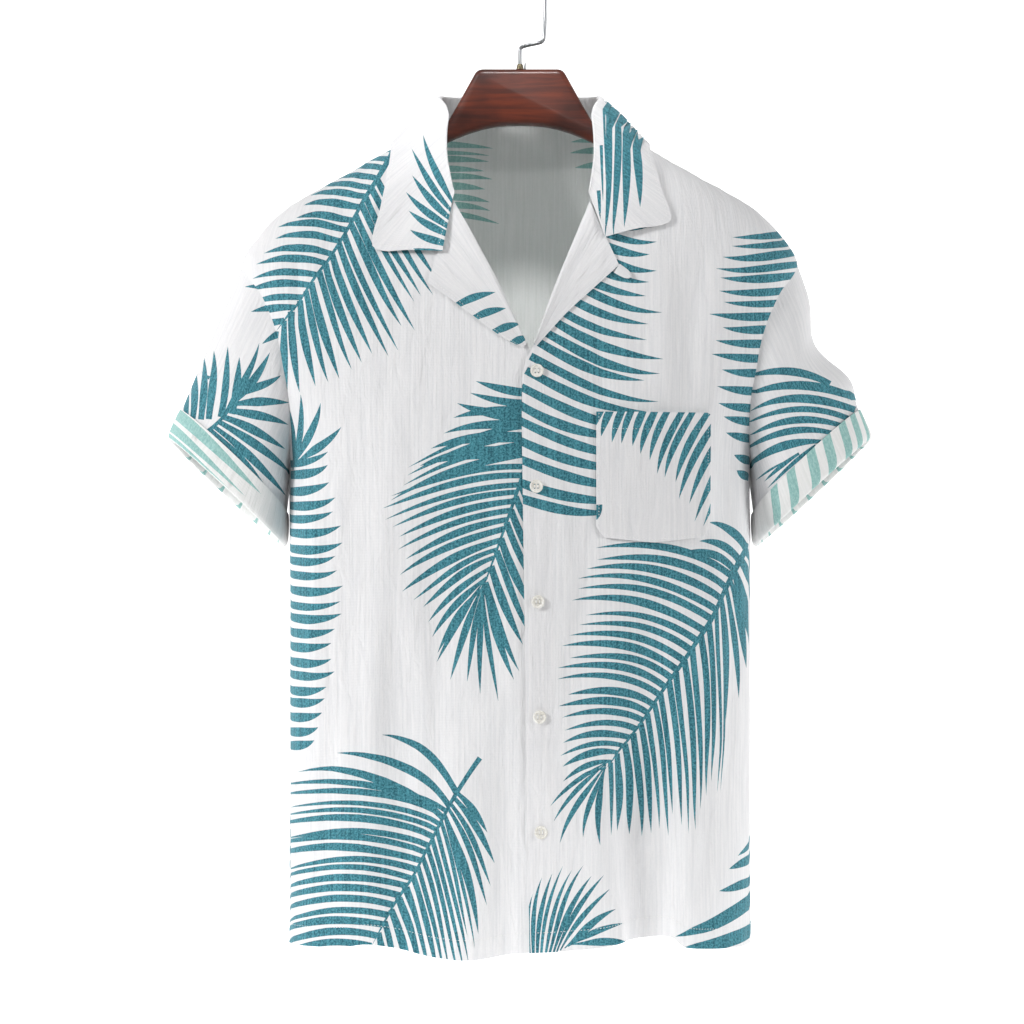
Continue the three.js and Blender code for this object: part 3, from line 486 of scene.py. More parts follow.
def printed_cloth(name, outline, blades, surface, step, looks, thickness=CLOTH_THICKNESS, flip=False):
    """Closed thin sheet over a flat outline, cut up along the printed blades, with its face and wrong side.

    looks are the face's ground and leaf, and the wrong side's ground and leaf.
    """
    low, high = np.array(outline).min(0), np.array(outline).max(0)
    points, edges = [], []
    for shape in [outline] + blades:
        first = len(points)
        points += [tuple(p) for p in shape]
        edges += [(k, k + 1) for k in range(first, len(points) - 1)] + [(len(points) - 1, first)]
    taken = {(round(x / step * 2), round(y / step * 2)) for x, y in points}
    rows = int((high[1] - low[1]) / step)
    columns = int((high[0] - low[0]) / step)
    for i in range(1, rows):
        for j in range(1, columns):
            x = low[0] + (j + 0.5 * (i % 2) - 0.25) * (high[0] - low[0]) / columns
            y = low[1] + i * (high[1] - low[1]) / rows
            if (round(x / step * 2), round(y / step * 2)) not in taken:
                points.append((x, y))
    cut = delaunay_2d_cdt([Vector(p) for p in points], edges, [], 0, 1e-4, False)
    flat = np.array([tuple(p) for p in cut[0]])
    middles = flat[np.array(cut[2])].mean(1)
    on_leaf = np.zeros(len(middles), bool)
    for blade in blades:
        on_leaf |= inside(np.array(blade), middles)
    kept = [(face, leaf) for face, leaf, on in zip(cut[2], on_leaf, inside(np.array(outline), middles)) if on]
    used = sorted({k for face, _ in kept for k in face})
    renumber = {k: i for i, k in enumerate(used)}
    flat = flat[used]
    u, v = flat[:, 0], flat[:, 1]
    outer = surface(u, v)
    nudge = 0.6
    across = surface(u + nudge, v) - surface(u - nudge, v)
    upward = surface(u, v + nudge) - surface(u, v - nudge)
    normal = unit(np.cross(across, upward)) * (-1 if flip else 1)
    inner = outer - normal * thickness
    count = len(flat)
    faces, materials = [], []
    edge_of = {}
    for face, is_leaf in kept:
        ids = [renumber[k] for k in face]
        if flip:
            ids = ids[::-1]
        faces.append(ids)
        materials.append(1 if is_leaf else 0)
        for a, b in zip(ids, ids[1:] + ids[:1]):
            if (b, a) in edge_of:
                del edge_of[(b, a)]
            else:
                edge_of[(a, b)] = is_leaf
    side_faces = len(faces)
    faces += [[k + count for k in ids[::-1]] for ids in faces]
    materials += [m + 2 for m in materials]
    for (a, b), is_leaf in edge_of.items():
        faces.append([b, a, a + count, b + count])
        materials.append(1 if is_leaf else 0)
    mesh = bpy.data.meshes.new(name)
    mesh.from_pydata((np.concatenate([outer, inner]) * MM).tolist(), [], faces)
    mesh.polygons.foreach_set("material_index", materials)
    mesh.polygons.foreach_set("use_smooth", [True] * len(faces))
    border = {frozenset((k + shift, m + shift)) for k, m in edge_of for shift in (0, count)}
    sharp = [frozenset(edge.vertices) in border for edge in mesh.edges]
    mesh.attributes.new("sharp_edge", "BOOLEAN", "EDGE").data.foreach_set("value", sharp)

    # One map in millimetres for the weave, and one in halves for the finished picture of each side
    cloth_map = mesh.uv_layers.new(name="cloth")
    bake_map = mesh.uv_layers.new(name="OFBake")
    corner = np.empty(len(mesh.loops), int)
    mesh.loops.foreach_get("vertex_index", corner)
    weave = flat[corner % count]
    cloth_map.data.foreach_set("uv", weave.ravel())
    size = high - low
    share = (flat - low) / size
    spot = np.empty((len(corner), 2))
    spot[:, 0] = 0.005 + 0.485 * share[corner % count, 0]
    spot[:, 1] = 0.005 + 0.96 * share[corner % count, 1]
    spot[corner >= count, 0] += 0.5
    start = 2 * side_faces * 3
    rim_loops = len(corner) - start
    place_on_rim = np.arange(rim_loops // 4) / max(1, rim_loops // 4)
    spot[start:, 0] = np.repeat(place_on_rim, 4) + np.tile([0, 0.8, 0.8, 0], rim_loops // 4) / (rim_loops // 4)
    spot[start:, 1] = np.tile([0.975, 0.975, 0.995, 0.995], rim_loops // 4)
    bake_map.data.foreach_set("uv", spot.ravel())
    for material in looks:
        mesh.materials.append(material)
    piece = bpy.data.objects.new(name, mesh)
    bpy.context.scene.collection.objects.link(piece)
    return piece


def cotton(name, light, dark, grain, weave_strength):
    """Plain-woven light cotton with uneven threads, seen about 1.3 mm apart so that they show.

    grain is how speckled the colour is, beside its long uneven threads.
    """
    material, shader = new_material(name, Roughness=0.86, Sheen_Weight=0.12, Sheen_Roughness=0.5,
                                    Specular_IOR_Level=0.25, Subsurface_Weight=0.3, Subsurface_Scale=0.002)
    shader.inputs["Subsurface Radius"].default_value = (1, 1, 1)
    cloth = add_node(material, "ShaderNodeUVMap", {"uv_map": "cloth"})
    warp = add_node(material, "ShaderNodeTexWave", {"bands_direction": "X"},
                    {"Vector": cloth.outputs["UV"], "Scale": 0.24, "Distortion": 1.2, "Detail": 1,
                     "Detail Scale": 0.4})
    weft = add_node(material, "ShaderNodeTexWave", {"bands_direction": "Y"},
                    {"Vector": cloth.outputs["UV"], "Scale": 0.24, "Distortion": 1.2, "Detail": 1,
                     "Detail Scale": 0.4})
    threads = add_node(material, "ShaderNodeMath", {"operation": "ADD"},
                       {0: warp.outputs["Fac"], 1: weft.outputs["Fac"]})
    long_way = add_node(material, "ShaderNodeMapping", None,
                        {"Vector": cloth.outputs["UV"], "Scale": (0.42, 0.016, 1)})
    slub = add_node(material, "ShaderNodeTexNoise", {"noise_dimensions": "2D"},
                    {"Vector": long_way.outputs["Vector"], "Scale": 1.0, "Detail": 4, "Roughness": 0.6})
    soft = add_node(material, "ShaderNodeMapping", None,
                    {"Vector": cloth.outputs["UV"], "Scale": (0.09, 0.03, 1)})
    crinkle = add_node(material, "ShaderNodeTexNoise", {"noise_dimensions": "2D"},
                       {"Vector": soft.outputs["Vector"], "Scale": 1.0, "Detail": 3, "Distortion": 0.4})
    speck = add_node(material, "ShaderNodeTexNoise", {"noise_dimensions": "2D"},
                     {"Vector": cloth.outputs["UV"], "Scale": 0.55, "Detail": 3, "Roughness": 0.7})
    mixed = add_node(material, "ShaderNodeMath", {"operation": "MULTIPLY_ADD"},
                     {0: speck.outputs["Fac"], 1: grain, 2: slub.outputs["Fac"]})
    shade = add_node(material, "ShaderNodeMapRange", None,
                     {"Value": mixed.outputs["Value"], "From Min": 0.36 + 0.4 * grain,
                      "From Max": 0.64 + 0.6 * grain})
    tint = add_node(material, "ShaderNodeMix", {"data_type": "RGBA"},
                    {0: shade.outputs["Result"], 6: linear(dark), 7: linear(light)})
    fine = add_node(material, "ShaderNodeBump", None,
                    {"Height": threads.outputs["Value"], "Strength": weave_strength, "Distance": 0.0002})
    streaks = add_node(material, "ShaderNodeBump", None,
                       {"Height": slub.outputs["Fac"], "Normal": fine.outputs["Normal"], "Strength": 0.5,
                        "Distance": 0.0009})
    crumpled = add_node(material, "ShaderNodeBump", None,
                        {"Height": crinkle.outputs["Fac"], "Normal": streaks.outputs["Normal"],
                         "Strength": 0.5, "Distance": 0.003})
    material.node_tree.links.new(tint.outputs[2], shader.inputs["Base Color"])
    material.node_tree.links.new(crumpled.outputs["Normal"], shader.inputs["Normal"])
    return material


white_cotton = cotton("white_slub_cotton", "E8E7E8", "DEDEE0", 0.3, 0.25)
teal_print = cotton("teal_pigment_print", "5299A6", "245A68", 2.0, 0.3)
# The wrong side's white is the same cotton painted lighter than the face's white: painted light that brightens the
# shaded inside of the neck and of the shirt.
white_back_with_painted_light = cotton("white_cotton_wrong_side_painted_light", "F2F2F1", "E9EAE8", 0.3, 0.3)
faded_print = cotton("faded_print_wrong_side", "A9CFCB", "8BB8B4", 2.0, 0.35)
FACE_LOOKS = [white_cotton, teal_print, white_back_with_painted_light, faded_print]

PIXEL = 0.88
CAMERA_X, CAMERA_Z, CAMERA_AWAY = -7.04, -470.0, 2800.0


def from_photo(pixels, y):
    """x and z of points seen at pixels of the photo, at a depth y."""
    pixels = np.asarray(pixels, float)
    scale = PIXEL * (CAMERA_AWAY + y) / CAMERA_AWAY
    return (pixels[:, 0] - 512) * scale + CAMERA_X, CAMERA_Z - (pixels[:, 1] - 512) * scale


def photo_to_front(pixels):
    """Flat place on the fronts of points seen at pixels of the photo."""
    y = np.full(len(pixels), -95.0)
    for _ in range(3):
        x, z = from_photo(pixels, y)
        level = np.clip(z, HEM_Z - 20, NECK_POINT_Z + 5)
        half = along_table(BODY[:, 0], BODY[:, 1], level)
        inside = np.clip(x, -0.985 * half, 0.985 * half)
        angle = front_angle(inside, level)
        y = raw_point(angle, level)[:, 1]
    u = look_up(ARC["front"], TURNS, angle, level) + (x - inside)
    drop = along_table(FRONT_HEM[:, 0], FRONT_HEM[:, 1], inside)
    return np.stack([u, z + drop * smooth(HEM_Z + HEM_WAVE_HEIGHT, HEM_Z, z)], 1)


def bezier(points, t):
    """Point and direction of a curve with three or four control points."""
    p = np.array(points, float)
    t = np.asarray(t, float)[:, None]
    if len(p) == 3:
        return (1 - t) ** 2 * p[0] + 2 * t * (1 - t) * p[1] + t ** 2 * p[2]
    return (1 - t) ** 3 * p[0] + 3 * t * (1 - t) ** 2 * p[1] + 3 * t ** 2 * (1 - t) * p[2] + t ** 3 * p[3]


def leaf_blade(base, tip, leave, arrive, width, butt):
    """Outline of one blade of a palm leaf. leave and arrive turn its ends, in degrees from its chord.

    butt is its width at the rib and width is the most it has farther out.
    """
    base, tip = np.array(base, float), np.array(tip, float)
    chord = tip - base
    turn = [math.radians(a) for a in (leave, arrive)]
    away = [np.array([chord[0] * math.cos(a) - chord[1] * math.sin(a),
                      chord[0] * math.sin(a) + chord[1] * math.cos(a)]) for a in turn]
    t = np.linspace(0, 1, 15)
    line = bezier([base, base + away[0] * 0.36, tip - away[1] * 0.36, tip], t)
    ahead = unit(np.gradient(line, axis=0))
    aside = np.stack([-ahead[:, 1], ahead[:, 0]], 1)
    half = (butt + (width - butt) * smooth(0, 0.5, t)) / 2 * (1 - t ** 3.2)
    left = line + aside * half[:, None]
    right = line - aside * half[:, None]
    return np.concatenate([left[:-1], [tip], right[:-1][::-1]])


def pitch(spots, ahead):
    """Distance from each spot to its neighbours in a row, across the direction of its blade."""
    steps = np.gradient(spots, axis=0) if len(spots) > 1 else np.full((1, 2), 99.0)
    return np.abs(steps[:, 0] * ahead[:, 1] - steps[:, 1] * ahead[:, 0])


def palm_frond(draw, rib, rib_width, sides):
    """Blades of one frond: a rib and, on each side, a row of blades that leaves narrow gaps.

    Each side is: number, share of the rib where it starts and ends, curve of the tips, leave, arrive, the most
    width.
    """
    shapes = []
    if rib_width:
        shapes.append(rib_shape(rib, rib_width))
    for number, start, end, tips, leave, arrive, width in sides:
        shares = [(k + draw.uniform(-0.12, 0.12)) / max(1, number - 1) for k in range(number)]
        shares = np.clip(shares, 0, 1)
        bases = bezier(rib, start + (end - start) * shares)
        reach = np.array([draw.uniform(0.87, 1.07) for _ in range(number)])
        ends = bases + (bezier(tips, shares) - bases) * reach[:, None]
        ahead = unit(ends - bases)
        at_rib = pitch(bases, ahead)
        farther = pitch(bases + (ends - bases) * 0.55, ahead)
        for k in range(number):
            sway = draw.uniform(-4, 4)
            fill = draw.uniform(0.6, 0.92)
            shapes.append(leaf_blade(bases[k], ends[k], leave + sway, arrive + sway * 0.8,
                                     min(width, max(2.2, farther[k] * fill)),
                                     min(width * 0.7, max(1.2, at_rib[k] * 0.74))))
    return shapes


def rib_shape(rib, width):
    t = np.linspace(0, 1, 15)
    line = bezier(rib, t)
    ahead = unit(np.gradient(line, axis=0))
    aside = np.stack([-ahead[:, 1], ahead[:, 0]], 1)
    half = width / 2 * (1.2 - 0.8 * t)
    left = line + aside * half[:, None]
    right = line - aside * half[:, None]
    return np.concatenate([left[:-1], [line[-1]], right[:-1][::-1]])


# The print of the fronts: fronds seen from the front, in pixels of the photo.
# Each row is a rib, its width, and its sides: number, start, end, tips, leave, arrive, width
RIGHT_FRONT_FRONDS = [
    (((396, 146), (352, 228), (276, 332)), 4.6, [
        (18, 0.02, 1.0, ((372, 154), (246, 214), (240, 352)), 13, -20, 8.6),
        (17, 0.2, 1.0, ((440, 284), (396, 376), (270, 400)), 4, -4, 9.6)]),
    (((283, 463), (280, 600), (284, 745)), 0, [
        (21, 0.0, 1.0, ((330, 450), (358, 606), (316, 740)), 14, -24, 10.5)]),
    (((293, 470), (293, 467), (293, 464)), 0, [
        (4, 0.0, 1.0, ((288, 400), (306, 385), (340, 428)), 6, -12, 9.5)]),
    (((527, 462), (508, 520), (483, 588)), 3.6, [
        (14, 0.04, 1.0, ((382, 498), (380, 566), (436, 655)), 12, -10, 9.8),
        (9, 0.06, 0.96, ((560, 520), (552, 620), (518, 668)), 5, -6, 9.8)]),
    (((485, 580), (484, 584), (483, 588)), 0, [
        (6, 0.0, 1.0, ((432, 668), (470, 718), (516, 684)), 4, -4, 9.5)]),
    (((536, 392), (540, 415), (538, 452)), 0, [
        (3, 0.0, 0.5, ((478, 380), (462, 392), (450, 402)), -8, 10, 13),
        (4, 0.4, 1.0, ((452, 418), (430, 440), (402, 468)), 8, -14, 19),
        (4, 0.6, 1.0, ((412, 466), (400, 480), (392, 500)), 12, -12, 9)]),
    (((480, 758), (448, 800), (372, 946)), 4.4, [
        (3, 0.3, 0.46, ((377, 729), (330, 742), (286, 768)), 24, -30, 9.4),
        (17, 0.42, 1.0, ((268, 784), (258, 870), (262, 962)), 22, -16, 9.6),
        (5, 0.3, 0.44, ((490, 836), (502, 890), (480, 940)), -12, 8, 15),
        (14, 0.44, 1.0, ((474, 945), (458, 1000), (372, 984)), -4, 4, 8.8)])]
LEFT_FRONT_FRONDS = [
    (((606, 222), (528, 300), (500, 492)), 0, [
        (21, 0.0, 1.0, ((654, 226), (668, 372), (628, 512)), 12, -16, 11.2)]),
    (((812, 228), (788, 320), (750, 478)), 0, [
        (18, 0.0, 1.0, ((728, 238), (694, 315), (736, 470)), -6, 8, 9.6)]),
    (((748, 543), (683, 684), (606, 768)), 4.6, [
        (3, 0.02, 0.1, ((708, 522), (694, 536), (682, 552)), 34, -30, 9),
        (22, 0.12, 1.0, ((596, 548), (540, 652), (560, 796)), 26, -20, 9.6),
        (3, 0.02, 0.1, ((768, 572), (764, 600), (752, 650)), -4, 4, 10),
        (4, 0.1, 0.2, ((754, 650), (748, 690), (726, 716)), -8, 6, 17),
        (16, 0.2, 0.97, ((722, 788), (690, 852), (612, 832)), -4, 4, 8.8)]),
    (((607, 762), (606, 765), (605, 768)), 0, [
        (5, 0.0, 1.0, ((544, 809), (552, 850), (600, 846)), 8, -14, 9)]),
    (((530, 962), (552, 955), (572, 944)), 0, [
        (12, 0.0, 1.0, ((532, 893), (592, 812), (640, 946)), -8, 14, 9.4)]),
    (((756, 836), (764, 880), (768, 960)), 0, [
        (3, 0.0, 0.4, ((738, 856), (724, 870), (716, 892)), -4, 8, 10),
        (3, 0.5, 1.0, ((672, 938), (672, 950), (690, 968)), -14, 12, 17)])]


def print_in_photo(fronds, to_flat, seed):
    """Blades of the fronds, laid from the photo's view on to a flat pattern."""
    draw = random.Random(seed)
    shapes = [shape for rib, rib_width, sides in fronds for shape in palm_frond(draw, rib, rib_width, sides)]
    if not shapes:
        return []
    ends = np.cumsum([len(shape) for shape in shapes])[:-1]
    return np.split(to_flat(np.concatenate(shapes)), ends)


white_thread, shader = new_material("white_cotton_thread", Base_Color=linear("F1F1EF"), Roughness=0.8)
STITCH_PITCH, STITCH_LENGTH, THREAD_RADIUS = 2.8, 2.1, 0.24


def stitching(name, surface, lines, flip=False):
    """Lockstitches along lines on the flat of a sheet: one small spindle of thread for each stitch."""
    corners, faces = [], []
    for line in lines:
        line = np.array(line, float)
        gone = np.append(0, np.cumsum(np.linalg.norm(np.diff(line, axis=0), axis=1)))
        along = np.arange(STITCH_PITCH / 2, gone[-1], STITCH_PITCH)

        def spot(distance):
            return surface(np.interp(distance, gone, line[:, 0]), np.interp(distance, gone, line[:, 1]))

        u, v = np.interp(along, gone, line[:, 0]), np.interp(along, gone, line[:, 1])
        normal = unit(np.cross(surface(u + 1, v) - surface(u - 1, v), surface(u, v + 1) - surface(u, v - 1)))
        normal = normal * (-1 if flip else 1)
        first, last = spot(along - STITCH_LENGTH / 2), spot(along + STITCH_LENGTH / 2)
        aside = unit(np.cross(normal, last - first)) * THREAD_RADIUS
        middle = (first + last) / 2 + normal * 0.08
        rings = [first - normal * 0.1, middle + aside, middle + normal * THREAD_RADIUS, middle - aside,
                 middle - normal * THREAD_RADIUS, last - normal * 0.1]
        for k in range(len(along)):
            start = len(corners)
            corners += [ring[k] * MM for ring in rings]
            for a, b in ((1, 2), (2, 3), (3, 4), (4, 1)):
                faces += [(start, start + b, start + a), (start + 5, start + a, start + b)]
    mesh = bpy.data.meshes.new(name)
    mesh.from_pydata([tuple(c) for c in corners], [], faces)
    mesh.materials.append(white_thread)
    mesh.polygons.foreach_set("use_smooth", [True] * len(faces))
    thread = bpy.data.objects.new(name, mesh)
    bpy.context.scene.collection.objects.link(thread)
    finish_piece(thread, "printed_cloth")


front_right = printed_cloth("right_front", front_outline("right"),
                            print_in_photo(RIGHT_FRONT_FRONDS, photo_to_front, 3), front_surface("right"),
                            5.0, FACE_LOOKS)
finish_piece(front_right, "printed_cloth", "front_right")
front_left = printed_cloth("left_front", front_outline("left"),
                           print_in_photo(LEFT_FRONT_FRONDS, photo_to_front, 5), front_surface("left"),
                           5.0, FACE_LOOKS)
finish_piece(front_left, "printed_cloth", "front_left")
hem_line = HEM_Z + HEM_BAND - 1
stitching("right_hem_stitches", front_surface("right"), [[(-258, hem_line), (24, hem_line)]])
stitching("left_hem_stitches", front_surface("left"), [[(14, hem_line), (258, hem_line)]])

# Back of the shirt
# One panel of the same cloth from the neck seam and the shoulders to the hem. It bears the print on its outside,
# and its wrong side, with the print pale on it and its white painted lighter as painted light on the shade, shows
# in the neck, behind the hanger.


def back_surface(u, v):
    """Outer face of the back: u is the length of cloth round from its middle, v the level."""
    turn = look_up(TURN_AT["back"], LENGTHS, u, v)
    angle = turn + math.pi
    x = raw_point(angle, v)[..., 0]
    band = 0.35 * smooth(HEM_Z + HEM_BAND + 0.8, HEM_Z + HEM_BAND - 0.8, v)
    ripple = crumple(u, v, 18, (14, 42), (90, 420), 0.36, 14) + crumple(u, v, 8, (40, 90), (160, 500), 0.5, 19)
    rise = (BACK_NECK_Z - NECK_POINT_Z) * np.cos(angle) ** 2 * smooth(-200, NECK_POINT_Z, v)
    return body_point(angle, v + rise, fold_height(x, v, BACK_CREASES) + ripple * smooth(-140, -190, v) + band)


def back_outline():
    levels = np.append(np.arange(NECK_POINT_Z, HEM_Z, -4.0), HEM_Z)
    tight = ARMHOLE_Z + ARMHOLE_HALF_HEIGHT * np.cos(np.linspace(0, math.pi, 40))
    levels = np.concatenate([levels[levels > tight[0] + 2], tight, levels[levels < tight[-1] - 2]])
    edge = look_up(ARC["back"], TURNS, armhole_turn(levels, "back"), levels)
    hem = np.linspace(-edge[-1], edge[-1], 100)[1:-1]
    top = np.linspace(edge[0], -edge[0], 30)[1:-1]
    return ([(-a, b) for a, b in zip(edge, levels)] + [(a, HEM_Z) for a in hem]
            + [(a, b) for a, b in zip(edge[::-1], levels[::-1])] + [(a, NECK_POINT_Z) for a in top])


# Fronds of the back, in flat millimetres: across from the middle as seen from behind, and down
BACK_FRONDS = [
    (((-120, -190), (-165, -290), (-230, -380)), 4, [
        (15, 0.05, 1.0, ((-170, -165), (-250, -250), (-300, -390)), -14, 14, 9),
        (16, 0.1, 1.0, ((-75, -300), (-120, -420), (-240, -450)), 8, -6, 9)]),
    (((236, -250), (190, -360), (120, -470)), 4, [
        (17, 0.04, 1.0, ((150, -200), (80, -360), (20, -500)), -12, 12, 9),
        (16, 0.08, 1.0, ((250, -400), (230, -530), (114, -560)), 8, -6, 9)]),
    (((20, -420), (-50, -520), (-150, -610)), 4, [
        (17, 0.04, 1.0, ((-50, -370), (-160, -450), (-240, -600)), -14, 14, 9),
        (17, 0.1, 1.0, ((60, -540), (10, -690), (-170, -700)), 8, -6, 9)]),
    (((150, -590), (80, -680), (30, -790)), 4, [
        (18, 0.04, 1.0, ((70, -560), (-30, -670), (-40, -790)), -14, 12, 9),
        (17, 0.08, 1.0, ((200, -700), (150, -840), (30, -860)), 8, -6, 9)]),
    (((-90, -870), (-150, -800), (-200, -730)), 4, [
        (14, 0.0, 1.0, ((-30, -800), (-80, -720), (-190, -660)), 8, -10, 9),
        (12, 0.0, 1.0, ((-120, -900), (-220, -860), (-260, -740)), 8, -10, 9)]),
    (((268, -860), (270, -760), (262, -640)), 0, [
        (17, 0.0, 1.0, ((180, -870), (200, -760), (196, -620)), -8, 10, 9)])]


def print_in_flat(fronds, seed):
    """Blades of fronds given straight in flat millimetres."""
    draw = random.Random(seed)
    return [shape for rib, rib_width, sides in fronds for shape in palm_frond(draw, rib, rib_width, sides)]


def photo_to_back(pixels):
    """Flat place on the back of points seen through the neck, on its wrong side."""
    x, z = from_photo(pixels, 78.0)
    turn = -front_angle(np.clip(x, -190, 190), z)
    return np.stack([look_up(ARC["back"], TURNS, turn, z), z], 1)


# Blades that show through on the wrong side inside the neck
NECK_FRONDS = [
    (((432, 150), (436, 180), (446, 212)), 0, [
        (9, 0.0, 1.0, ((500, 156), (484, 176), (506, 224)), -6, 8, 7.5)]),
    (((606, 135), (606, 148), (606, 168)), 0, [
        (4, 0.0, 1.0, ((556, 140), (566, 152), (566, 172)), 4, -6, 7)])]
back = printed_cloth("back_panel", back_outline(),
                     print_in_flat(BACK_FRONDS, 7) + print_in_photo(NECK_FRONDS, photo_to_back, 8),
                     back_surface, 5.6, FACE_LOOKS)
finish_piece(back, "printed_cloth", "back")
stitching("back_hem_stitches", back_surface, [[(-262, hem_line), (262, hem_line)]])

# Lapels
# The tops of the fronts turn back along the roll line and lie flat on the chest. What shows is the facing, cut
# in one with the front. The tips meet above the top button.
LAPELS = {
    "right": {"edge": np.array([(-78.5, -275), (-46, -299), (-16.5, -321), (2.5, -331)]), "roll_end": -325},
    "left": {"edge": np.array([(84, -260), (61, -281), (39, -301.5), (13.5, -330)]), "roll_end": -325}}
LAPEL_WIDTH, LAPEL_LENGTH = 62.0, 120.0


def lapel_surface(side):
    """Outer face of a lapel: u runs from the roll line out, v down from the corner."""
    shape = LAPELS[side]

    def place(u, v):
        out = np.clip(u / LAPEL_WIDTH, 0, 1)
        down = np.clip(-v / LAPEL_LENGTH, 0, 1)
        roll_z = GORGE_Z - 2 + (shape["roll_end"] - GORGE_Z) * down
        roll_x = along_table(FREE_EDGE[side][:, 0], FREE_EDGE[side][:, 1], roll_z)
        steps = np.arange(4) / 3
        edge_x = along_table(steps, shape["edge"][:, 0], down)
        edge_z = along_table(steps, shape["edge"][:, 1], down)
        x = roll_x + (edge_x - roll_x) * out
        z = roll_z + (edge_z - roll_z) * out
        puff = 2.5 * (1 - smooth(0, 0.45, out)) * (1 - 0.5 * down)
        cover = cover_lift(x, z) if side == "left" else 0
        tuck = -2.0 * (1 - smooth(0, 0.09, out))
        return body_point(front_angle(x, z), z, cover + LAYER + puff + tuck - 0.3)
    return place


def grid_outline(width, length, across=24, down=36):
    """Flat rectangle from (0, 0) to (width, -length), with points along its edges."""
    xs, ys = np.linspace(0, width, across), np.linspace(0, -length, down)
    return ([(0, y) for y in ys] + [(x, -length) for x in xs[1:]] + [(width, y) for y in ys[-2::-1]]
            + [(x, 0) for x in xs[-2:0:-1]])


def photo_to_sheet(surface, width, length, keep=None):
    """Maker of a map from the photo's pixels to the flat place on a sheet, over its part that faces front."""
    us, vs = np.meshgrid(np.linspace(0, width, 160), np.linspace(0, -length, 90))
    us, vs = us.ravel(), vs.ravel()
    if keep is not None:
        chosen = keep(us, vs)
        us, vs = us[chosen], vs[chosen]

    def seen(u, v):
        point = surface(u, v)
        scale = PIXEL * (CAMERA_AWAY + point[:, 1]) / CAMERA_AWAY
        return np.stack([(point[:, 0] - CAMERA_X) / scale + 512, (CAMERA_Z - point[:, 2]) / scale + 512], 1)

    pixels = seen(us, vs)

    def to_flat(wanted):
        nearest = np.array([np.argmin(((pixels - w) ** 2).sum(1)) for w in wanted])
        u, v = us[nearest], vs[nearest]
        left, right = np.maximum(u - 1, 0), np.minimum(u + 1, width)
        low, high = np.maximum(v - 1, -length), np.minimum(v + 1, 0)
        by_u = (seen(right, v) - seen(left, v)) / (right - left)[:, None]
        by_v = (seen(u, high) - seen(u, low)) / (high - low)[:, None]
        gap = wanted - pixels[nearest]
        area = by_u[:, 0] * by_v[:, 1] - by_u[:, 1] * by_v[:, 0]
        area = np.where(np.abs(area) < 0.2, np.where(area < 0, -0.2, 0.2), area)
        u = u + np.clip((gap[:, 0] * by_v[:, 1] - gap[:, 1] * by_v[:, 0]) / area, -40, 40)
        v = v + np.clip((by_u[:, 0] * gap[:, 1] - by_u[:, 1] * gap[:, 0]) / area, -40, 40)
        return np.stack([u, v], 1)
    return to_flat


RIGHT_LAPEL_FRONDS = [
    (((456, 306), (490, 330), (530, 358)), 0, [
        (5, 0.0, 1.0, ((496, 292), (524, 322), (538, 352)), -10, 12, 8.5)])]
for side, fronds in (("right", RIGHT_LAPEL_FRONDS), ("left", [])):
    surface = lapel_surface(side)
    blades = print_in_photo(fronds, photo_to_sheet(surface, LAPEL_WIDTH, LAPEL_LENGTH), 11)
    lapel = printed_cloth(side + "_lapel", grid_outline(LAPEL_WIDTH, LAPEL_LENGTH), blades, surface, 4.0,
                          FACE_LOOKS, flip=(side == "right"))
    finish_piece(lapel, "printed_cloth", "lapel_" + side)
    stitching(side + "_lapel_stitches", surface, [[(LAPEL_WIDTH - 3, -6), (LAPEL_WIDTH - 3, 8 - LAPEL_LENGTH)]],
              flip=(side == "right"))

# Collar
# A one-piece camp collar: it stands up from the neck seam, folds over and falls on the shoulders. Its points lie
# on the lapels and leave an open notch.
COLLAR_FALL = {
    "right": np.array([(0.5, -110, -150), (0.62, -113, -176), (0.74, -120, -212), (0.84, -125, -245),
                       (0.92, -96, -248), (1, -66, -249)], float),
    "left": np.array([(0.5, 110, -150), (0.62, 115, -170), (0.74, 122, -196), (0.84, 128, -222),
                      (0.92, 101, -229), (1, 72, -237)], float)}
COLLAR_STAND, COLLAR_STAND_END = 28.0, 7.0
COLLAR_BACK_FALL_Z = -164.0
COLLAR_COLUMNS = 48
NECK_TURN = 0.0556
FALL_ROWS = 5


def one(value):
    return np.array([float(value)])


def clear_body(point, lift):
    """Moves a point out along the body's normal until it clears the body by the lift."""
    if point[2] > NECK_POINT_Z + 4:
        return point
    for _ in range(6):
        angle = math.atan2(point[0], -point[1])
        normal = body_normal(one(angle), one(point[2]))[0]
        gap = math.hypot(point[0], point[1]) - body_radius(one(angle), one(point[2]))[0]
        distance = gap * (normal[0] * math.sin(angle) - normal[1] * math.cos(angle))
        if distance >= lift - 0.01:
            return point
        point = point + normal * (lift - distance)
    return point


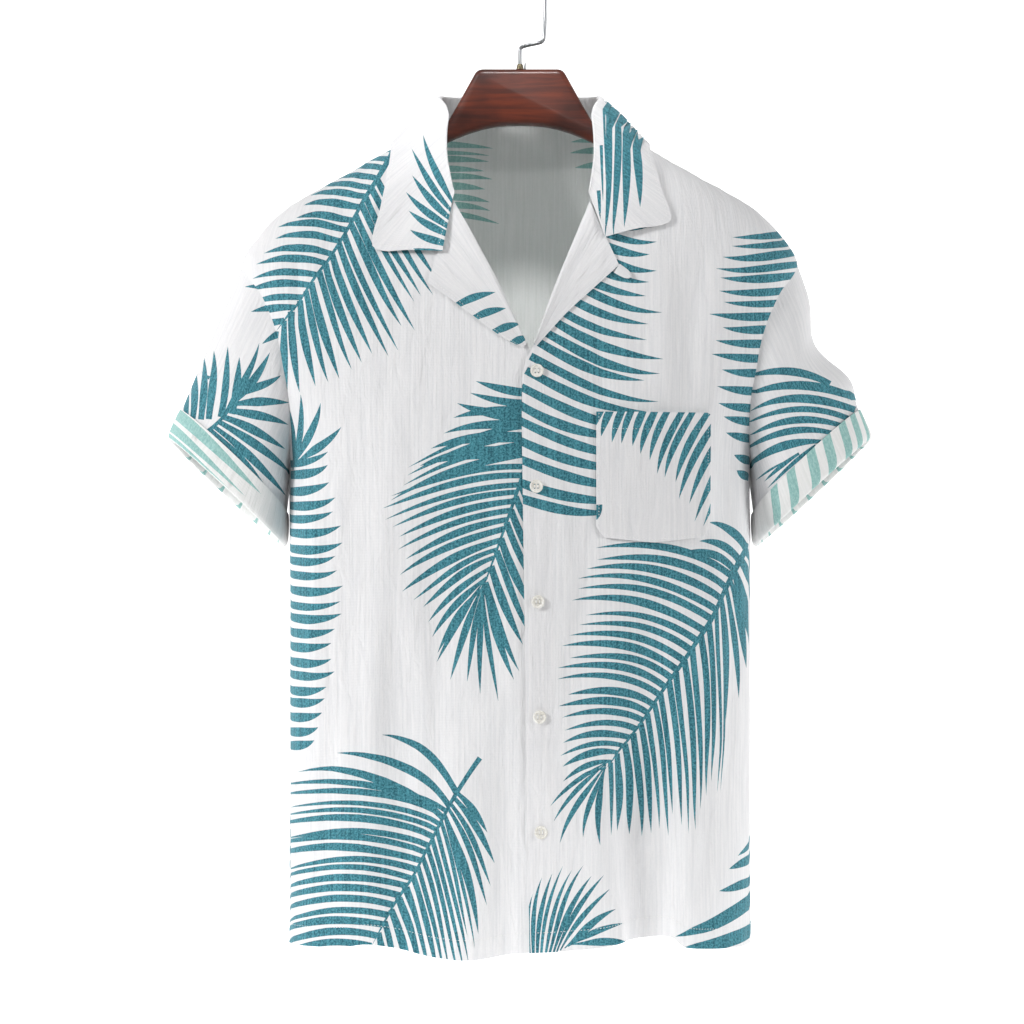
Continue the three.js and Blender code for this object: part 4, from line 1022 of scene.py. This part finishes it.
def collar_column(side, along):
    """One line of the collar, from the seam over the fold to the outer edge. along is 0 at the back's middle."""
    sign = -1 if side == "right" else 1
    is_back = along <= 0.5
    back_share = float(1 - smooth(0.42, 0.6, along))
    angle = math.pi - math.pi * along
    rise_of_neck = (BACK_NECK_Z - NECK_POINT_Z) * math.cos(angle) ** 2
    level = NECK_POINT_Z + rise_of_neck
    if not is_back:
        across = min(1, (along - 0.5) / NECK_TURN)
        down = max(0, along - 0.5 - NECK_TURN) / (0.5 - NECK_TURN)
        level = NECK_POINT_Z + (GORGE_Z + 6 - NECK_POINT_Z) * down
        edge_x = float(along_table(FREE_EDGE[side][:, 0], FREE_EDGE[side][:, 1], level))
        inner = front_angle(one(sign * (edge_x - sign * SEAM_GAP * 2 * down)), one(level))[0]
        angle = math.pi / 2 + (inner - math.pi / 2) * across
    seam = raw_point(one(sign * angle), one(level))[0]
    radial = unit(np.array([seam[0], seam[1], 0]))
    seam = seam - radial * WALL * back_share
    seam[2] += (SEAM_GAP + 0.3) * max(back_share, 0.4)
    lean = unit(np.array([-0.3 * radial[0], -0.2 * radial[1], 1]))
    forward = unit(np.array([-sign * 0.35, -1, 0.45]))
    rise = unit(lean * back_share + forward * (1 - back_share))
    stand = COLLAR_STAND_END + (COLLAR_STAND - COLLAR_STAND_END) * float(1 - smooth(0.45, 0.85, along))
    fold = seam + rise * stand
    at_shoulder = float(smooth(0.3, 0.5, along) * (1 - smooth(0.5, 0.72, along)))
    lie = WALL + 1.2 + float(smooth(0.84, 0.95, along)) * 3.4 + 2 * at_shoulder
    if is_back:
        z = COLLAR_BACK_FALL_Z + (COLLAR_FALL[side][0, 2] - COLLAR_BACK_FALL_Z) * float(smooth(0.1, 0.5, along))
        edge = body_point(one(sign * angle), one(z), one(lie))[0]
    else:
        x = along_table(COLLAR_FALL[side][:, 0], COLLAR_FALL[side][:, 1], along)
        z = along_table(COLLAR_FALL[side][:, 0], COLLAR_FALL[side][:, 2], along)
        edge = body_point(front_angle(one(x), one(z)), one(z), one(lie))[0]
    out = edge - seam
    aside = unit(out - rise * out.dot(rise))
    column = [seam, seam + (fold - seam) * 0.6, fold - rise * 1.2 + aside * 0.6, fold + aside * 2.6,
              fold - rise * 1.6 + aside * 5]
    crest = column[-1]
    for k in range(1, FALL_ROWS + 1):
        t = k / FALL_ROWS
        column.append(clear_body(crest + (edge - crest) * t + aside * 1.75 * math.sin(math.pi * t), lie))
    return column


def through_grid(grid, width, length, ring=False):
    """Smooth surface through a grid of points, rows down: u runs over the columns and v down the rows."""
    rows, columns = grid.shape[:2]

    def weights(t):
        return [(-t + 2 * t ** 2 - t ** 3) / 2, (2 - 5 * t ** 2 + 3 * t ** 3) / 2,
                (t + 4 * t ** 2 - 3 * t ** 3) / 2, (-t ** 2 + t ** 3) / 2]

    def place(u, v):
        spans = columns if ring else columns - 1
        x = u / width * spans if ring else np.clip(u / width, 0, 1) * spans
        y = np.clip(-v / length, 0, 1) * (rows - 1)
        i = np.minimum(np.floor(y).astype(int), rows - 2)
        j = np.floor(x).astype(int) if ring else np.minimum(np.floor(x).astype(int), columns - 2)
        down, across = weights((y - i)[:, None]), weights((x - j)[:, None])
        total = 0
        for a in range(4):
            row = np.clip(i + a - 1, 0, rows - 1)
            for b in range(4):
                column = (j + b - 1) % columns if ring else np.clip(j + b - 1, 0, columns - 1)
                total = total + grid[row, column] * down[a] * across[b]
        return total
    return place


COLLAR_LENGTH, COLLAR_DEPTH = 560.0, 96.0
places = np.linspace(-1, 1, COLLAR_COLUMNS + 1)
columns = [collar_column("left" if p < 0 else "right", abs(p)) for p in places]
collar_grid = np.array(columns).transpose(1, 0, 2)
collar_surface = through_grid(collar_grid, COLLAR_LENGTH, COLLAR_DEPTH)
# Blades on the two points of the collar
COLLAR_FRONDS = {
    "right": [
        (((456, 208), (454, 226), (446, 254)), 0, [
            (7, 0.0, 1.0, ((420, 128), (394, 190), (412, 250)), -8, 10, 8.4)])],
    "left": [
        (((604, 96), (600, 168), (596, 232)), 0, [
            (4, 0.0, 1.0, ((606, 190), (602, 215), (598, 238)), 0, 0, 9)]),
        (((610, 96), (622, 112), (634, 128)), 0, [
            (4, 0.0, 1.0, ((604, 236), (616, 236), (640, 206)), -3, 4, 9.5)])]}


def near_point(side):
    """Chooses the fall of one side of the collar."""
    def keep(u, v):
        on_side = u < 0.3 * COLLAR_LENGTH if side == "left" else u > 0.7 * COLLAR_LENGTH
        return on_side & (v < -0.42 * COLLAR_DEPTH)
    return keep


blades = []
for side in ("right", "left"):
    to_flat = photo_to_sheet(collar_surface, COLLAR_LENGTH, COLLAR_DEPTH, near_point(side))
    blades += print_in_photo(COLLAR_FRONDS[side], to_flat, 13)
collar = printed_cloth("camp_collar", grid_outline(COLLAR_LENGTH, COLLAR_DEPTH, 120, 24), blades,
                       collar_surface, 4.0, FACE_LOOKS)
finish_piece(collar, "printed_cloth", "collar")
stitch_edge = 4.5 - COLLAR_DEPTH
stitching("collar_stitches", collar_surface, [
    [(4, -52), (4, stitch_edge), (COLLAR_LENGTH - 4, stitch_edge), (COLLAR_LENGTH - 4, -52)]])

# Sleeves
# Short sleeves set into the armholes, cut wide and filled out. A seam runs along the underarm.
SLEEVE_OUTER, SLEEVE_INNER = (307.5, -406), (207.5, -499)
SLEEVE_HALF_DEPTH, SLEEVE_FRONT_RISE = 53.0, 6.0
SLEEVE_ROUND, SLEEVE_LENGTH = 420.0, 150.0
SLEEVE_STEPS = 40


ARMHOLE_START = {}


def armhole_start(side, turn):
    """Point on the armhole seam where the sleeve starts, worked out once for each turn."""
    key = (side, round(turn, 6))
    if key not in ARMHOLE_START:
        sign = -1 if side == "right" else 1
        z = ARMHOLE_Z + ARMHOLE_HALF_HEIGHT * math.cos(turn)
        is_front = math.sin(turn) >= 0
        armhole = armhole_turn(one(z), "front" if is_front else "back")[0]
        angle = sign * (armhole if is_front else math.pi - armhole)
        ARMHOLE_START[key] = body_point(one(angle), one(z), one(-0.6))[0]
    return ARMHOLE_START[key]


def sleeve_point(side, turn, along):
    """Point of a sleeve: turn is 0 at the shoulder, 90 at the front, along is 1 at the turned-up end."""
    sign = -1 if side == "right" else 1
    is_front = math.sin(turn) >= 0
    to_face = -1 if is_front else 1
    deep = abs(math.sin(turn))
    out = math.cos(turn)
    start = armhole_start(side, turn)
    end = np.array([
        sign * ((SLEEVE_OUTER[0] + SLEEVE_INNER[0]) / 2 + (SLEEVE_OUTER[0] - SLEEVE_INNER[0]) / 2 * out
                + to_face * SLEEVE_FRONT_RISE / 3 * deep),
        to_face * SLEEVE_HALF_DEPTH * deep,
        (SLEEVE_OUTER[1] + SLEEVE_INNER[1]) / 2 + (SLEEVE_OUTER[1] - SLEEVE_INNER[1]) / 2 * out
        - to_face * SLEEVE_FRONT_RISE * deep])
    point = start + (end - start) * along
    point[1] += to_face * 5 * deep * math.sin(math.pi * along)
    if side == "left":
        round_angle = abs(math.degrees(math.atan2(math.sin(turn), math.cos(turn))))
        for spread, middle, length, depth in ((55, 0.42, 0.16, -13), (60, 0.68, 0.1, 5)):
            height = depth * math.exp(-(round_angle / spread) ** 2 - ((along - middle) / length) ** 2)
            point += np.array([sign * height * 0.93, 0, height * 0.37])
    return point


def sleeve_surface(side):
    rows = []
    for along in np.linspace(0, 1, 17):
        rows.append([sleeve_point(side, 2 * math.pi * k / SLEEVE_STEPS - math.pi, along)
                     for k in range(SLEEVE_STEPS)])
    grid = np.array(rows)
    base = through_grid(grid, SLEEVE_ROUND, SLEEVE_LENGTH, ring=True)
    sign = 1 if side == "right" else -1

    def place(u, v):
        point = base(u, v)
        around = base(u + 1, v) - base(u - 1, v)
        down = base(u, v + 1) - base(u, v - 1)
        normal = unit(np.cross(around, down)) * sign
        ring_u = u * 2 * math.pi / SLEEVE_ROUND
        wave = (np.sin(3 * ring_u + 1 + 0.01 * v) * 0.7 + np.sin(7 * ring_u + 0.02 * v) * 0.45
                + np.sin(11 * ring_u - 0.03 * v + 2) * 0.3)
        free = smooth(0, -18, v) * smooth(-SLEEVE_LENGTH, -SLEEVE_LENGTH + 20, v)
        return point + normal * (wave * free * 0.8)[:, None]
    return place


def faces_front(u, v):
    return (u > 0.5 * SLEEVE_ROUND) & (u < 0.995 * SLEEVE_ROUND)


SLEEVE_FRONDS = {
    "right": [
        (((186, 416), (200, 424), (232, 414)), 0, [
            (6, 0.0, 1.0, ((184, 366), (206, 336), (240, 352)), 4, -6, 9)]),
        (((204, 434), (220, 424), (243, 392)), 4, [
            (3, 0.5, 1.0, ((256, 346), (272, 346), (284, 374)), 6, -10, 12),
            (7, 0.05, 0.8, ((268, 528), (302, 478), (286, 402)), -6, 8, 10)]),
        (((300, 284), (300, 300), (300, 326)), 0, [
            (4, 0.0, 1.0, ((246, 262), (234, 300), (262, 344)), 10, -12, 9)])],
    "left": [
        (((830, 384), (829, 386), (828, 388)), 0, [
            (1, 0.0, 0.0, ((746, 378), (746, 378), (746, 378)), 22, -26, 9)]),
        (((862, 400), (846, 424), (826, 442)), 0, [
            (6, 0.0, 1.0, ((742, 398), (736, 430), (748, 470)), 24, -28, 10)]),
        (((830, 438), (815, 462), (802, 482)), 0, [
            (3, 0.0, 1.0, ((752, 534), (760, 537), (768, 534)), 4, -8, 13)]),
        (((816, 446), (800, 452), (784, 462)), 0, [
            (3, 0.0, 1.0, ((770, 486), (762, 484), (756, 480)), 6, -6, 9)])]}
SLEEVE_BACK_FRONDS = {
    "right": [
        (((40, -10), (90, -60), (150, -140)), 4, [
            (9, 0.05, 1.0, ((20, -60), (30, -120), (120, -170)), 8, -8, 8),
            (9, 0.05, 1.0, ((110, -10), (190, -40), (205, -120)), -8, 8, 8)])],
    "left": [
        (((40, -130), (90, -80), (160, -10)), 4, [
            (9, 0.05, 1.0, ((15, -90), (30, -20), (120, 10)), -8, 8, 8),
            (9, 0.05, 1.0, ((90, -150), (170, -130), (205, -50)), 8, -8, 8)])]}
sleeve_of = {}
for side in ("right", "left"):
    surface = sleeve_surface(side)
    sleeve_of[side] = surface
    blades = print_in_photo(SLEEVE_FRONDS[side], photo_to_sheet(surface, SLEEVE_ROUND, SLEEVE_LENGTH, faces_front),
                            17)
    blades += print_in_flat(SLEEVE_BACK_FRONDS[side], 19)
    sleeve = printed_cloth(side + "_sleeve", grid_outline(SLEEVE_ROUND, SLEEVE_LENGTH, 90, 34), blades, surface,
                           4.6, FACE_LOOKS, flip=(side == "left"))
    finish_piece(sleeve, "printed_cloth", "sleeve_" + side)

# Turned-up cuffs
# The sleeve ends are turned up twice and pressed. What shows is the wrong side of the cloth, with the print
# pale on it.
# What shows of the turn-up, and its whole length with what goes up inside
CUFF_WIDTH, CUFF_LENGTH = 27.0, 44.0


def cuff_surface(side):
    """Outer face of a cuff: u goes round, v from the upper edge down, round the fold and up inside."""
    stations = [(-CUFF_WIDTH, 2.0), (-CUFF_WIDTH * 0.7, 2.9), (-CUFF_WIDTH * 0.35, 3.2), (-4, 3.1), (-0.6, 2.2),
                (1.0, 0.6), (0.6, -1.2), (-1.6, -2.2), (-12, -2.4)]
    rows = []
    for away, lift in stations:
        row = []
        for k in range(SLEEVE_STEPS):
            turn = 2 * math.pi * k / SLEEVE_STEPS - math.pi
            length = np.linalg.norm(sleeve_point(side, turn, 1) - sleeve_point(side, turn, 0))
            along = 1 + away / length
            reach = min(along, 1)
            point = sleeve_point(side, turn, reach)
            down = unit(sleeve_point(side, turn, 1) - sleeve_point(side, turn, 0.96))
            point = point + down * max(away, 0)
            step = math.radians(5)
            around = sleeve_point(side, turn + step, reach) - sleeve_point(side, turn - step, reach)
            normal = unit(np.cross(down, around)) * (-1 if side == "left" else 1)
            row.append(point + normal * lift)
        rows.append(row)
    return through_grid(np.array(rows), SLEEVE_ROUND, CUFF_LENGTH, ring=True)


# Blades on the cuffs, in flat millimetres round the front half and down: along one, across the other
CUFF_BLADES = {
    "right": [leaf_blade((200, v), (350 - 14 * k, v - 3), 0, 0, 6.4, 6) for k, v in enumerate((-3, -11, -19))],
    "left": [leaf_blade((u, 3), (u + 16, -44), 4, -4, 10, 9) for u in (228, 248, 266, 287, 306, 330, 352)]}
for side, around in (("right", range(16, 190, 22)), ("left", range(20, 200, 19))):
    CUFF_BLADES[side] += [leaf_blade((u, 3), (u - 12, -44), 4, -4, 9, 8) for u in around]
WRONG_LOOKS = [white_back_with_painted_light, faded_print, white_cotton, teal_print]
for side in ("right", "left"):
    surface = cuff_surface(side)
    outline = grid_outline(SLEEVE_ROUND, CUFF_LENGTH, 90, 14)
    cuff = printed_cloth(side + "_cuff", outline, CUFF_BLADES[side], surface, 3.4, WRONG_LOOKS,
                         flip=(side == "left"))
    finish_piece(cuff, "wrong_side_cloth", "cuff_" + side)

# Chest pocket
# A patch pocket on the left front with a blunt point, its top edge hemmed, stitched down on three sides.
POCKET_X0, POCKET_X1, POCKET_TOP, POCKET_BOTTOM = 64.2, 161.6, -385.0, -491.0
POCKET_POINT, POCKET_CORNER = 5.0, 9.0
POCKET_WIDTH, POCKET_LENGTH = 100.0, 106.0


def pocket_surface(u, v):
    """Outer face of the pocket, laid on the left front."""
    across = np.clip(u / POCKET_WIDTH, 0, 1)
    down = np.clip(-v / POCKET_LENGTH, 0, 1)
    level = POCKET_TOP + (POCKET_BOTTOM - POCKET_TOP) * down
    x = POCKET_X0 + (POCKET_X1 - POCKET_X0) * across
    width = POCKET_X1 - POCKET_X0
    to_side = np.minimum(across, 1 - across) * width
    corner = POCKET_CORNER * (1 - np.minimum(1, to_side / POCKET_CORNER)) ** 2
    point = POCKET_POINT * np.minimum(1, to_side / (width / 2))
    z = level + (corner - point) * down
    puff = 1.2 * np.sin(math.pi * across) * (1 - down) ** 2
    band = 0.35 * smooth(-13, -11.5, v)
    base = fold_height(x, z, FRONT_CREASES) * 0.6
    sag = 0.5 * np.sin(across * 5 + down * 3) + 0.9 * np.exp(-((down - 0.62 - 0.25 * across) / 0.06) ** 2)
    sag = sag * np.sin(math.pi * across) * np.sin(math.pi * down)
    return body_point(front_angle(x, level), z, LAYER - 0.3 + puff + band + sag + np.maximum(base, 0))


POCKET_FRONDS = [
    (((606, 402), (670, 396), (762, 430)), 0, [
        (14, 0.0, 1.0, ((590, 436), (662, 448), (698, 536)), 10, -12, 8.5)]),
    (((586, 520), (586, 524), (586, 528)), 0, [
        (1, 0.0, 0.0, ((604, 503), (604, 503), (604, 503)), 0, 0, 16)])]
blades = print_in_photo(POCKET_FRONDS, photo_to_sheet(pocket_surface, POCKET_WIDTH, POCKET_LENGTH), 29)
pocket = printed_cloth("chest_pocket", grid_outline(POCKET_WIDTH, POCKET_LENGTH, 30, 32), blades, pocket_surface,
                       4.0, FACE_LOOKS)
finish_piece(pocket, "printed_cloth", "pocket")
seam_right = POCKET_WIDTH - 2.2
stitching("pocket_stitches", pocket_surface, [
    [(2.2, -0.5), (2.2, 2.5 - POCKET_LENGTH), (seam_right, 2.5 - POCKET_LENGTH), (seam_right, -0.5)],
    [(2.2, -14), (seam_right, -14)]])

# Loop at the lapel
# A narrow folded strip caught in the seam at the corner of the left lapel, for buttoning the neck shut.
LOOP_X0, LOOP_Z0, LOOP_X1, LOOP_Z1 = 82.0, -263.0, 94.0, -270.5
LOOP_WIDTH, LOOP_LENGTH = 9.0, 14.0


def loop_surface(u, v):
    """Outer face of the loop, domed across and narrowed to its rounded end."""
    along = np.clip(-v / LOOP_LENGTH, 0, 1)
    across = np.clip(u / LOOP_WIDTH, 0, 1) * 2 - 1
    end = np.sqrt(np.maximum(0, 1 - np.maximum(0, (along - 0.6) / 0.4) ** 2)) * 0.75 + 0.25
    half = LOOP_WIDTH / 2 * (1 - 0.35 * along * along) * end
    x = LOOP_X0 + (LOOP_X1 - LOOP_X0) * along - half * across * 0.53
    z = LOOP_Z0 + (LOOP_Z1 - LOOP_Z0) * along - half * across * 0.85
    return body_point(front_angle(x, z), z, LAYER + 1.1 * (1 - across ** 2) - 0.2)


outline = grid_outline(LOOP_WIDTH, LOOP_LENGTH, 8, 12)
loop = printed_cloth("lapel_loop", outline, [], loop_surface, 1.6, FACE_LOOKS, 0.6, True)
finish_piece(loop, "printed_cloth", "loop")

# Buttons
# Five four-hole shirt buttons of pearly white resin down the left front, sewn on with white thread.
BUTTON_COUNT, BUTTON_TOP, BUTTON_SPACING, BUTTON_INSET = 5, -350.6, 97.6, 11.5
BUTTON_RADIUS, BUTTON_THICKNESS, BUTTON_HOLE, BUTTON_PITCH = 5.6, 2.4, 0.7, 2.8
pearly_resin, shader = new_material("pearly_resin", Base_Color=linear("EFEDE6"), Roughness=0.22,
                                    Subsurface_Weight=0.25, Coat_Weight=0.3, Coat_Roughness=0.1)
shader.inputs["Subsurface Radius"].default_value = (0.004, 0.004, 0.0035)
coords = add_node(pearly_resin, "ShaderNodeTexCoord")
cloudy = add_node(pearly_resin, "ShaderNodeTexNoise", None,
                  {"Vector": coords.outputs["Object"], "Scale": 260, "Detail": 3, "Distortion": 1.5})
pearl = add_node(pearly_resin, "ShaderNodeValToRGB",
                 {"stops": [(0.3, linear("DAD6CC")), (0.7, linear("F6F5F1"))]}, {"Fac": cloudy.outputs["Fac"]})
pearly_resin.node_tree.links.new(pearl.outputs["Color"], shader.inputs["Base Color"])

bpy.ops.object.select_all(action="DESELECT")
bpy.ops.mesh.primitive_cylinder_add(vertices=48, radius=BUTTON_RADIUS * MM, depth=BUTTON_THICKNESS * MM)
button = bpy.context.object
button.name = "shirt_button"
bpy.ops.object.mode_set(mode="EDIT")
bpy.ops.mesh.select_all(action="DESELECT")
bpy.ops.object.mode_set(mode="OBJECT")
for polygon in button.data.polygons:
    polygon.select = polygon.normal.z > 0.9
bpy.ops.object.mode_set(mode="EDIT")
bpy.ops.mesh.select_mode(type="FACE")
bpy.ops.mesh.inset(thickness=1.3 * MM)
bpy.ops.mesh.inset(thickness=0.6 * MM, depth=-0.7 * MM)
bpy.ops.object.mode_set(mode="OBJECT")
for x in (-1, 1):
    for y in (-1, 1):
        bpy.ops.object.select_all(action="DESELECT")
        bpy.ops.mesh.primitive_cylinder_add(
            vertices=14, radius=BUTTON_HOLE * MM, depth=8 * MM,
            location=(x * BUTTON_PITCH / 2 * MM, y * BUTTON_PITCH / 2 * MM, 0))
        drill = bpy.context.object
        bpy.ops.object.select_all(action="DESELECT")
        button.select_set(True)
        bpy.context.view_layer.objects.active = button
        hole = button.modifiers.new("thread_hole", "BOOLEAN")
        hole.operation = "DIFFERENCE"
        hole.object = drill
        bpy.ops.object.modifier_apply(modifier=hole.name)
        bpy.data.objects.remove(drill)
bevel = button.modifiers.new("turned_rim", "BEVEL")
bevel.width = 0.3 * MM
bevel.segments = 3
bevel.limit_method = "ANGLE"
bevel.angle_limit = math.radians(50)
bpy.ops.object.modifier_apply(modifier=bevel.name)
button.data.materials.append(pearly_resin)
bpy.ops.object.shade_smooth_by_angle(angle=math.radians(35))

threads = []
for k in range(BUTTON_COUNT):
    z = BUTTON_TOP - BUTTON_SPACING * k
    x = float(along_table(FREE_EDGE["left"][:, 0], FREE_EDGE["left"][:, 1], z)) + BUTTON_INSET
    angle = front_angle(one(x), one(z))
    lift = float(cover_lift(x, z)) + SEAM_GAP + BUTTON_THICKNESS / 2
    middle = Vector(body_point(angle, one(z), one(lift))[0] * MM)
    facing = Vector(body_normal(angle, one(z))[0])
    turn = facing.to_track_quat("Z", "Y")
    piece = button if k == BUTTON_COUNT - 1 else button.copy()
    if k < BUTTON_COUNT - 1:
        piece.data = button.data.copy()
        bpy.context.scene.collection.objects.link(piece)
    piece.name = "shirt_button_%d" % (k + 1)
    piece.matrix_world = turn.to_matrix().to_4x4()
    piece.location = middle
    bpy.context.view_layer.update()
    apply_place(piece)
    finish_piece(piece, "button_resin", "button_%d" % (k + 1))
    for way in (-1, 1):
        bpy.ops.object.select_all(action="DESELECT")
        bpy.ops.mesh.primitive_cylinder_add(
            vertices=10, radius=0.42 * MM, depth=BUTTON_PITCH * MM,
            location=middle + turn @ Vector((way * BUTTON_PITCH / 2 * MM, 0, 0.75 * MM)),
            rotation=(turn @ Vector((0, 1, 0))).to_track_quat("Z", "Y").to_euler())
        strand = bpy.context.object
        apply_place(strand)
        threads.append(strand)
bpy.ops.object.select_all(action="DESELECT")
for strand in threads:
    strand.select_set(True)
bpy.context.view_layer.objects.active = threads[0]
bpy.ops.object.join()
button_thread = bpy.context.view_layer.objects.active
button_thread.name = "button_thread"
button_thread.data.materials.append(white_thread)
bpy.ops.object.shade_smooth_by_angle(angle=math.radians(40))
finish_piece(button_thread, "printed_cloth")

# Floor, light and camera
# A pale sweep of floor and wall, soft light from all round, and the photograph's straight view.
bpy.ops.object.select_all(action="DESELECT")
bpy.ops.mesh.primitive_plane_add(size=1, location=(0, 0, 0))
sweep = bpy.context.object
sweep.name = "studio_sweep"
sweep.scale = (24, 8, 1)
sweep.location = (0, 3.5, -1.02)
apply_place(sweep)
bpy.ops.object.mode_set(mode="EDIT")
bpy.ops.mesh.select_all(action="DESELECT")
bpy.ops.object.mode_set(mode="OBJECT")
for edge in sweep.data.edges:
    edge.select = all(sweep.data.vertices[i].co.y > 7 for i in edge.vertices)
for vertex in sweep.data.vertices:
    vertex.select = vertex.co.y > 7
bpy.ops.object.mode_set(mode="EDIT")
bpy.ops.mesh.select_mode(type="EDGE")
bpy.ops.mesh.extrude_region_move(TRANSFORM_OT_translate={"value": (0, 0, 6)})
bpy.ops.object.mode_set(mode="OBJECT")
bevel = sweep.modifiers.new("sweep_curve", "BEVEL")
bevel.width = 1.0
bevel.segments = 12
bpy.ops.object.modifier_apply(modifier=bevel.name)
bpy.ops.object.shade_smooth()
paper, shader = new_material("white_paper", Base_Color=linear("FAFAFA"), Roughness=0.95,
                             Emission_Color=linear("FFFFFF"), Emission_Strength=0.75)
sweep.data.materials.append(paper)

world = bpy.data.worlds.new("studio")
bpy.context.scene.world = world
world.use_nodes = True
world.node_tree.nodes["Background"].inputs["Color"].default_value = (1, 1, 1, 1)
world.node_tree.nodes["Background"].inputs["Strength"].default_value = 0.36
# Name, power in watts, width and place in metres of each lamp; both look at the middle of the shirt
LAMPS = [
    ("key_light", 66, 0.6, (-2.4, -1.6, 0.8)),
    ("side_light", 30, 0.9, (2.5, -1.4, 0.3))]
for name, power, size, lamp_place in LAMPS:
    light = bpy.data.lights.new(name, "AREA")
    light.energy = power
    light.size = size
    lamp = bpy.data.objects.new(name, light)
    lamp.location = lamp_place
    lamp.rotation_euler = (Vector((0, 0, -0.45)) - Vector(lamp_place)).to_track_quat("-Z", "Y").to_euler()
    bpy.context.scene.collection.objects.link(lamp)

spot = bpy.data.lights.new("neck_light", "SPOT")
spot.energy = 60
spot.spot_size = math.radians(10)
spot.spot_blend = 0.6
spot.shadow_soft_size = 0.1
lamp = bpy.data.objects.new("neck_light", spot)
lamp.location = (0, -0.75, 0.8)
lamp.rotation_euler = Vector((0, 0.82, -1.04)).to_track_quat("-Z", "Y").to_euler()
bpy.context.scene.collection.objects.link(lamp)

camera_data = bpy.data.cameras.new("photo_camera")
camera_data.lens = 111.86
camera_data.sensor_width = 36
camera = bpy.data.objects.new("photo_camera", camera_data)
camera.location = (CAMERA_X * MM, -CAMERA_AWAY * MM, CAMERA_Z * MM)
camera.rotation_euler = (math.radians(90), 0, 0)
bpy.context.scene.collection.objects.link(camera)
bpy.context.scene.camera = camera
bpy.context.scene.view_settings.view_transform = "Standard"
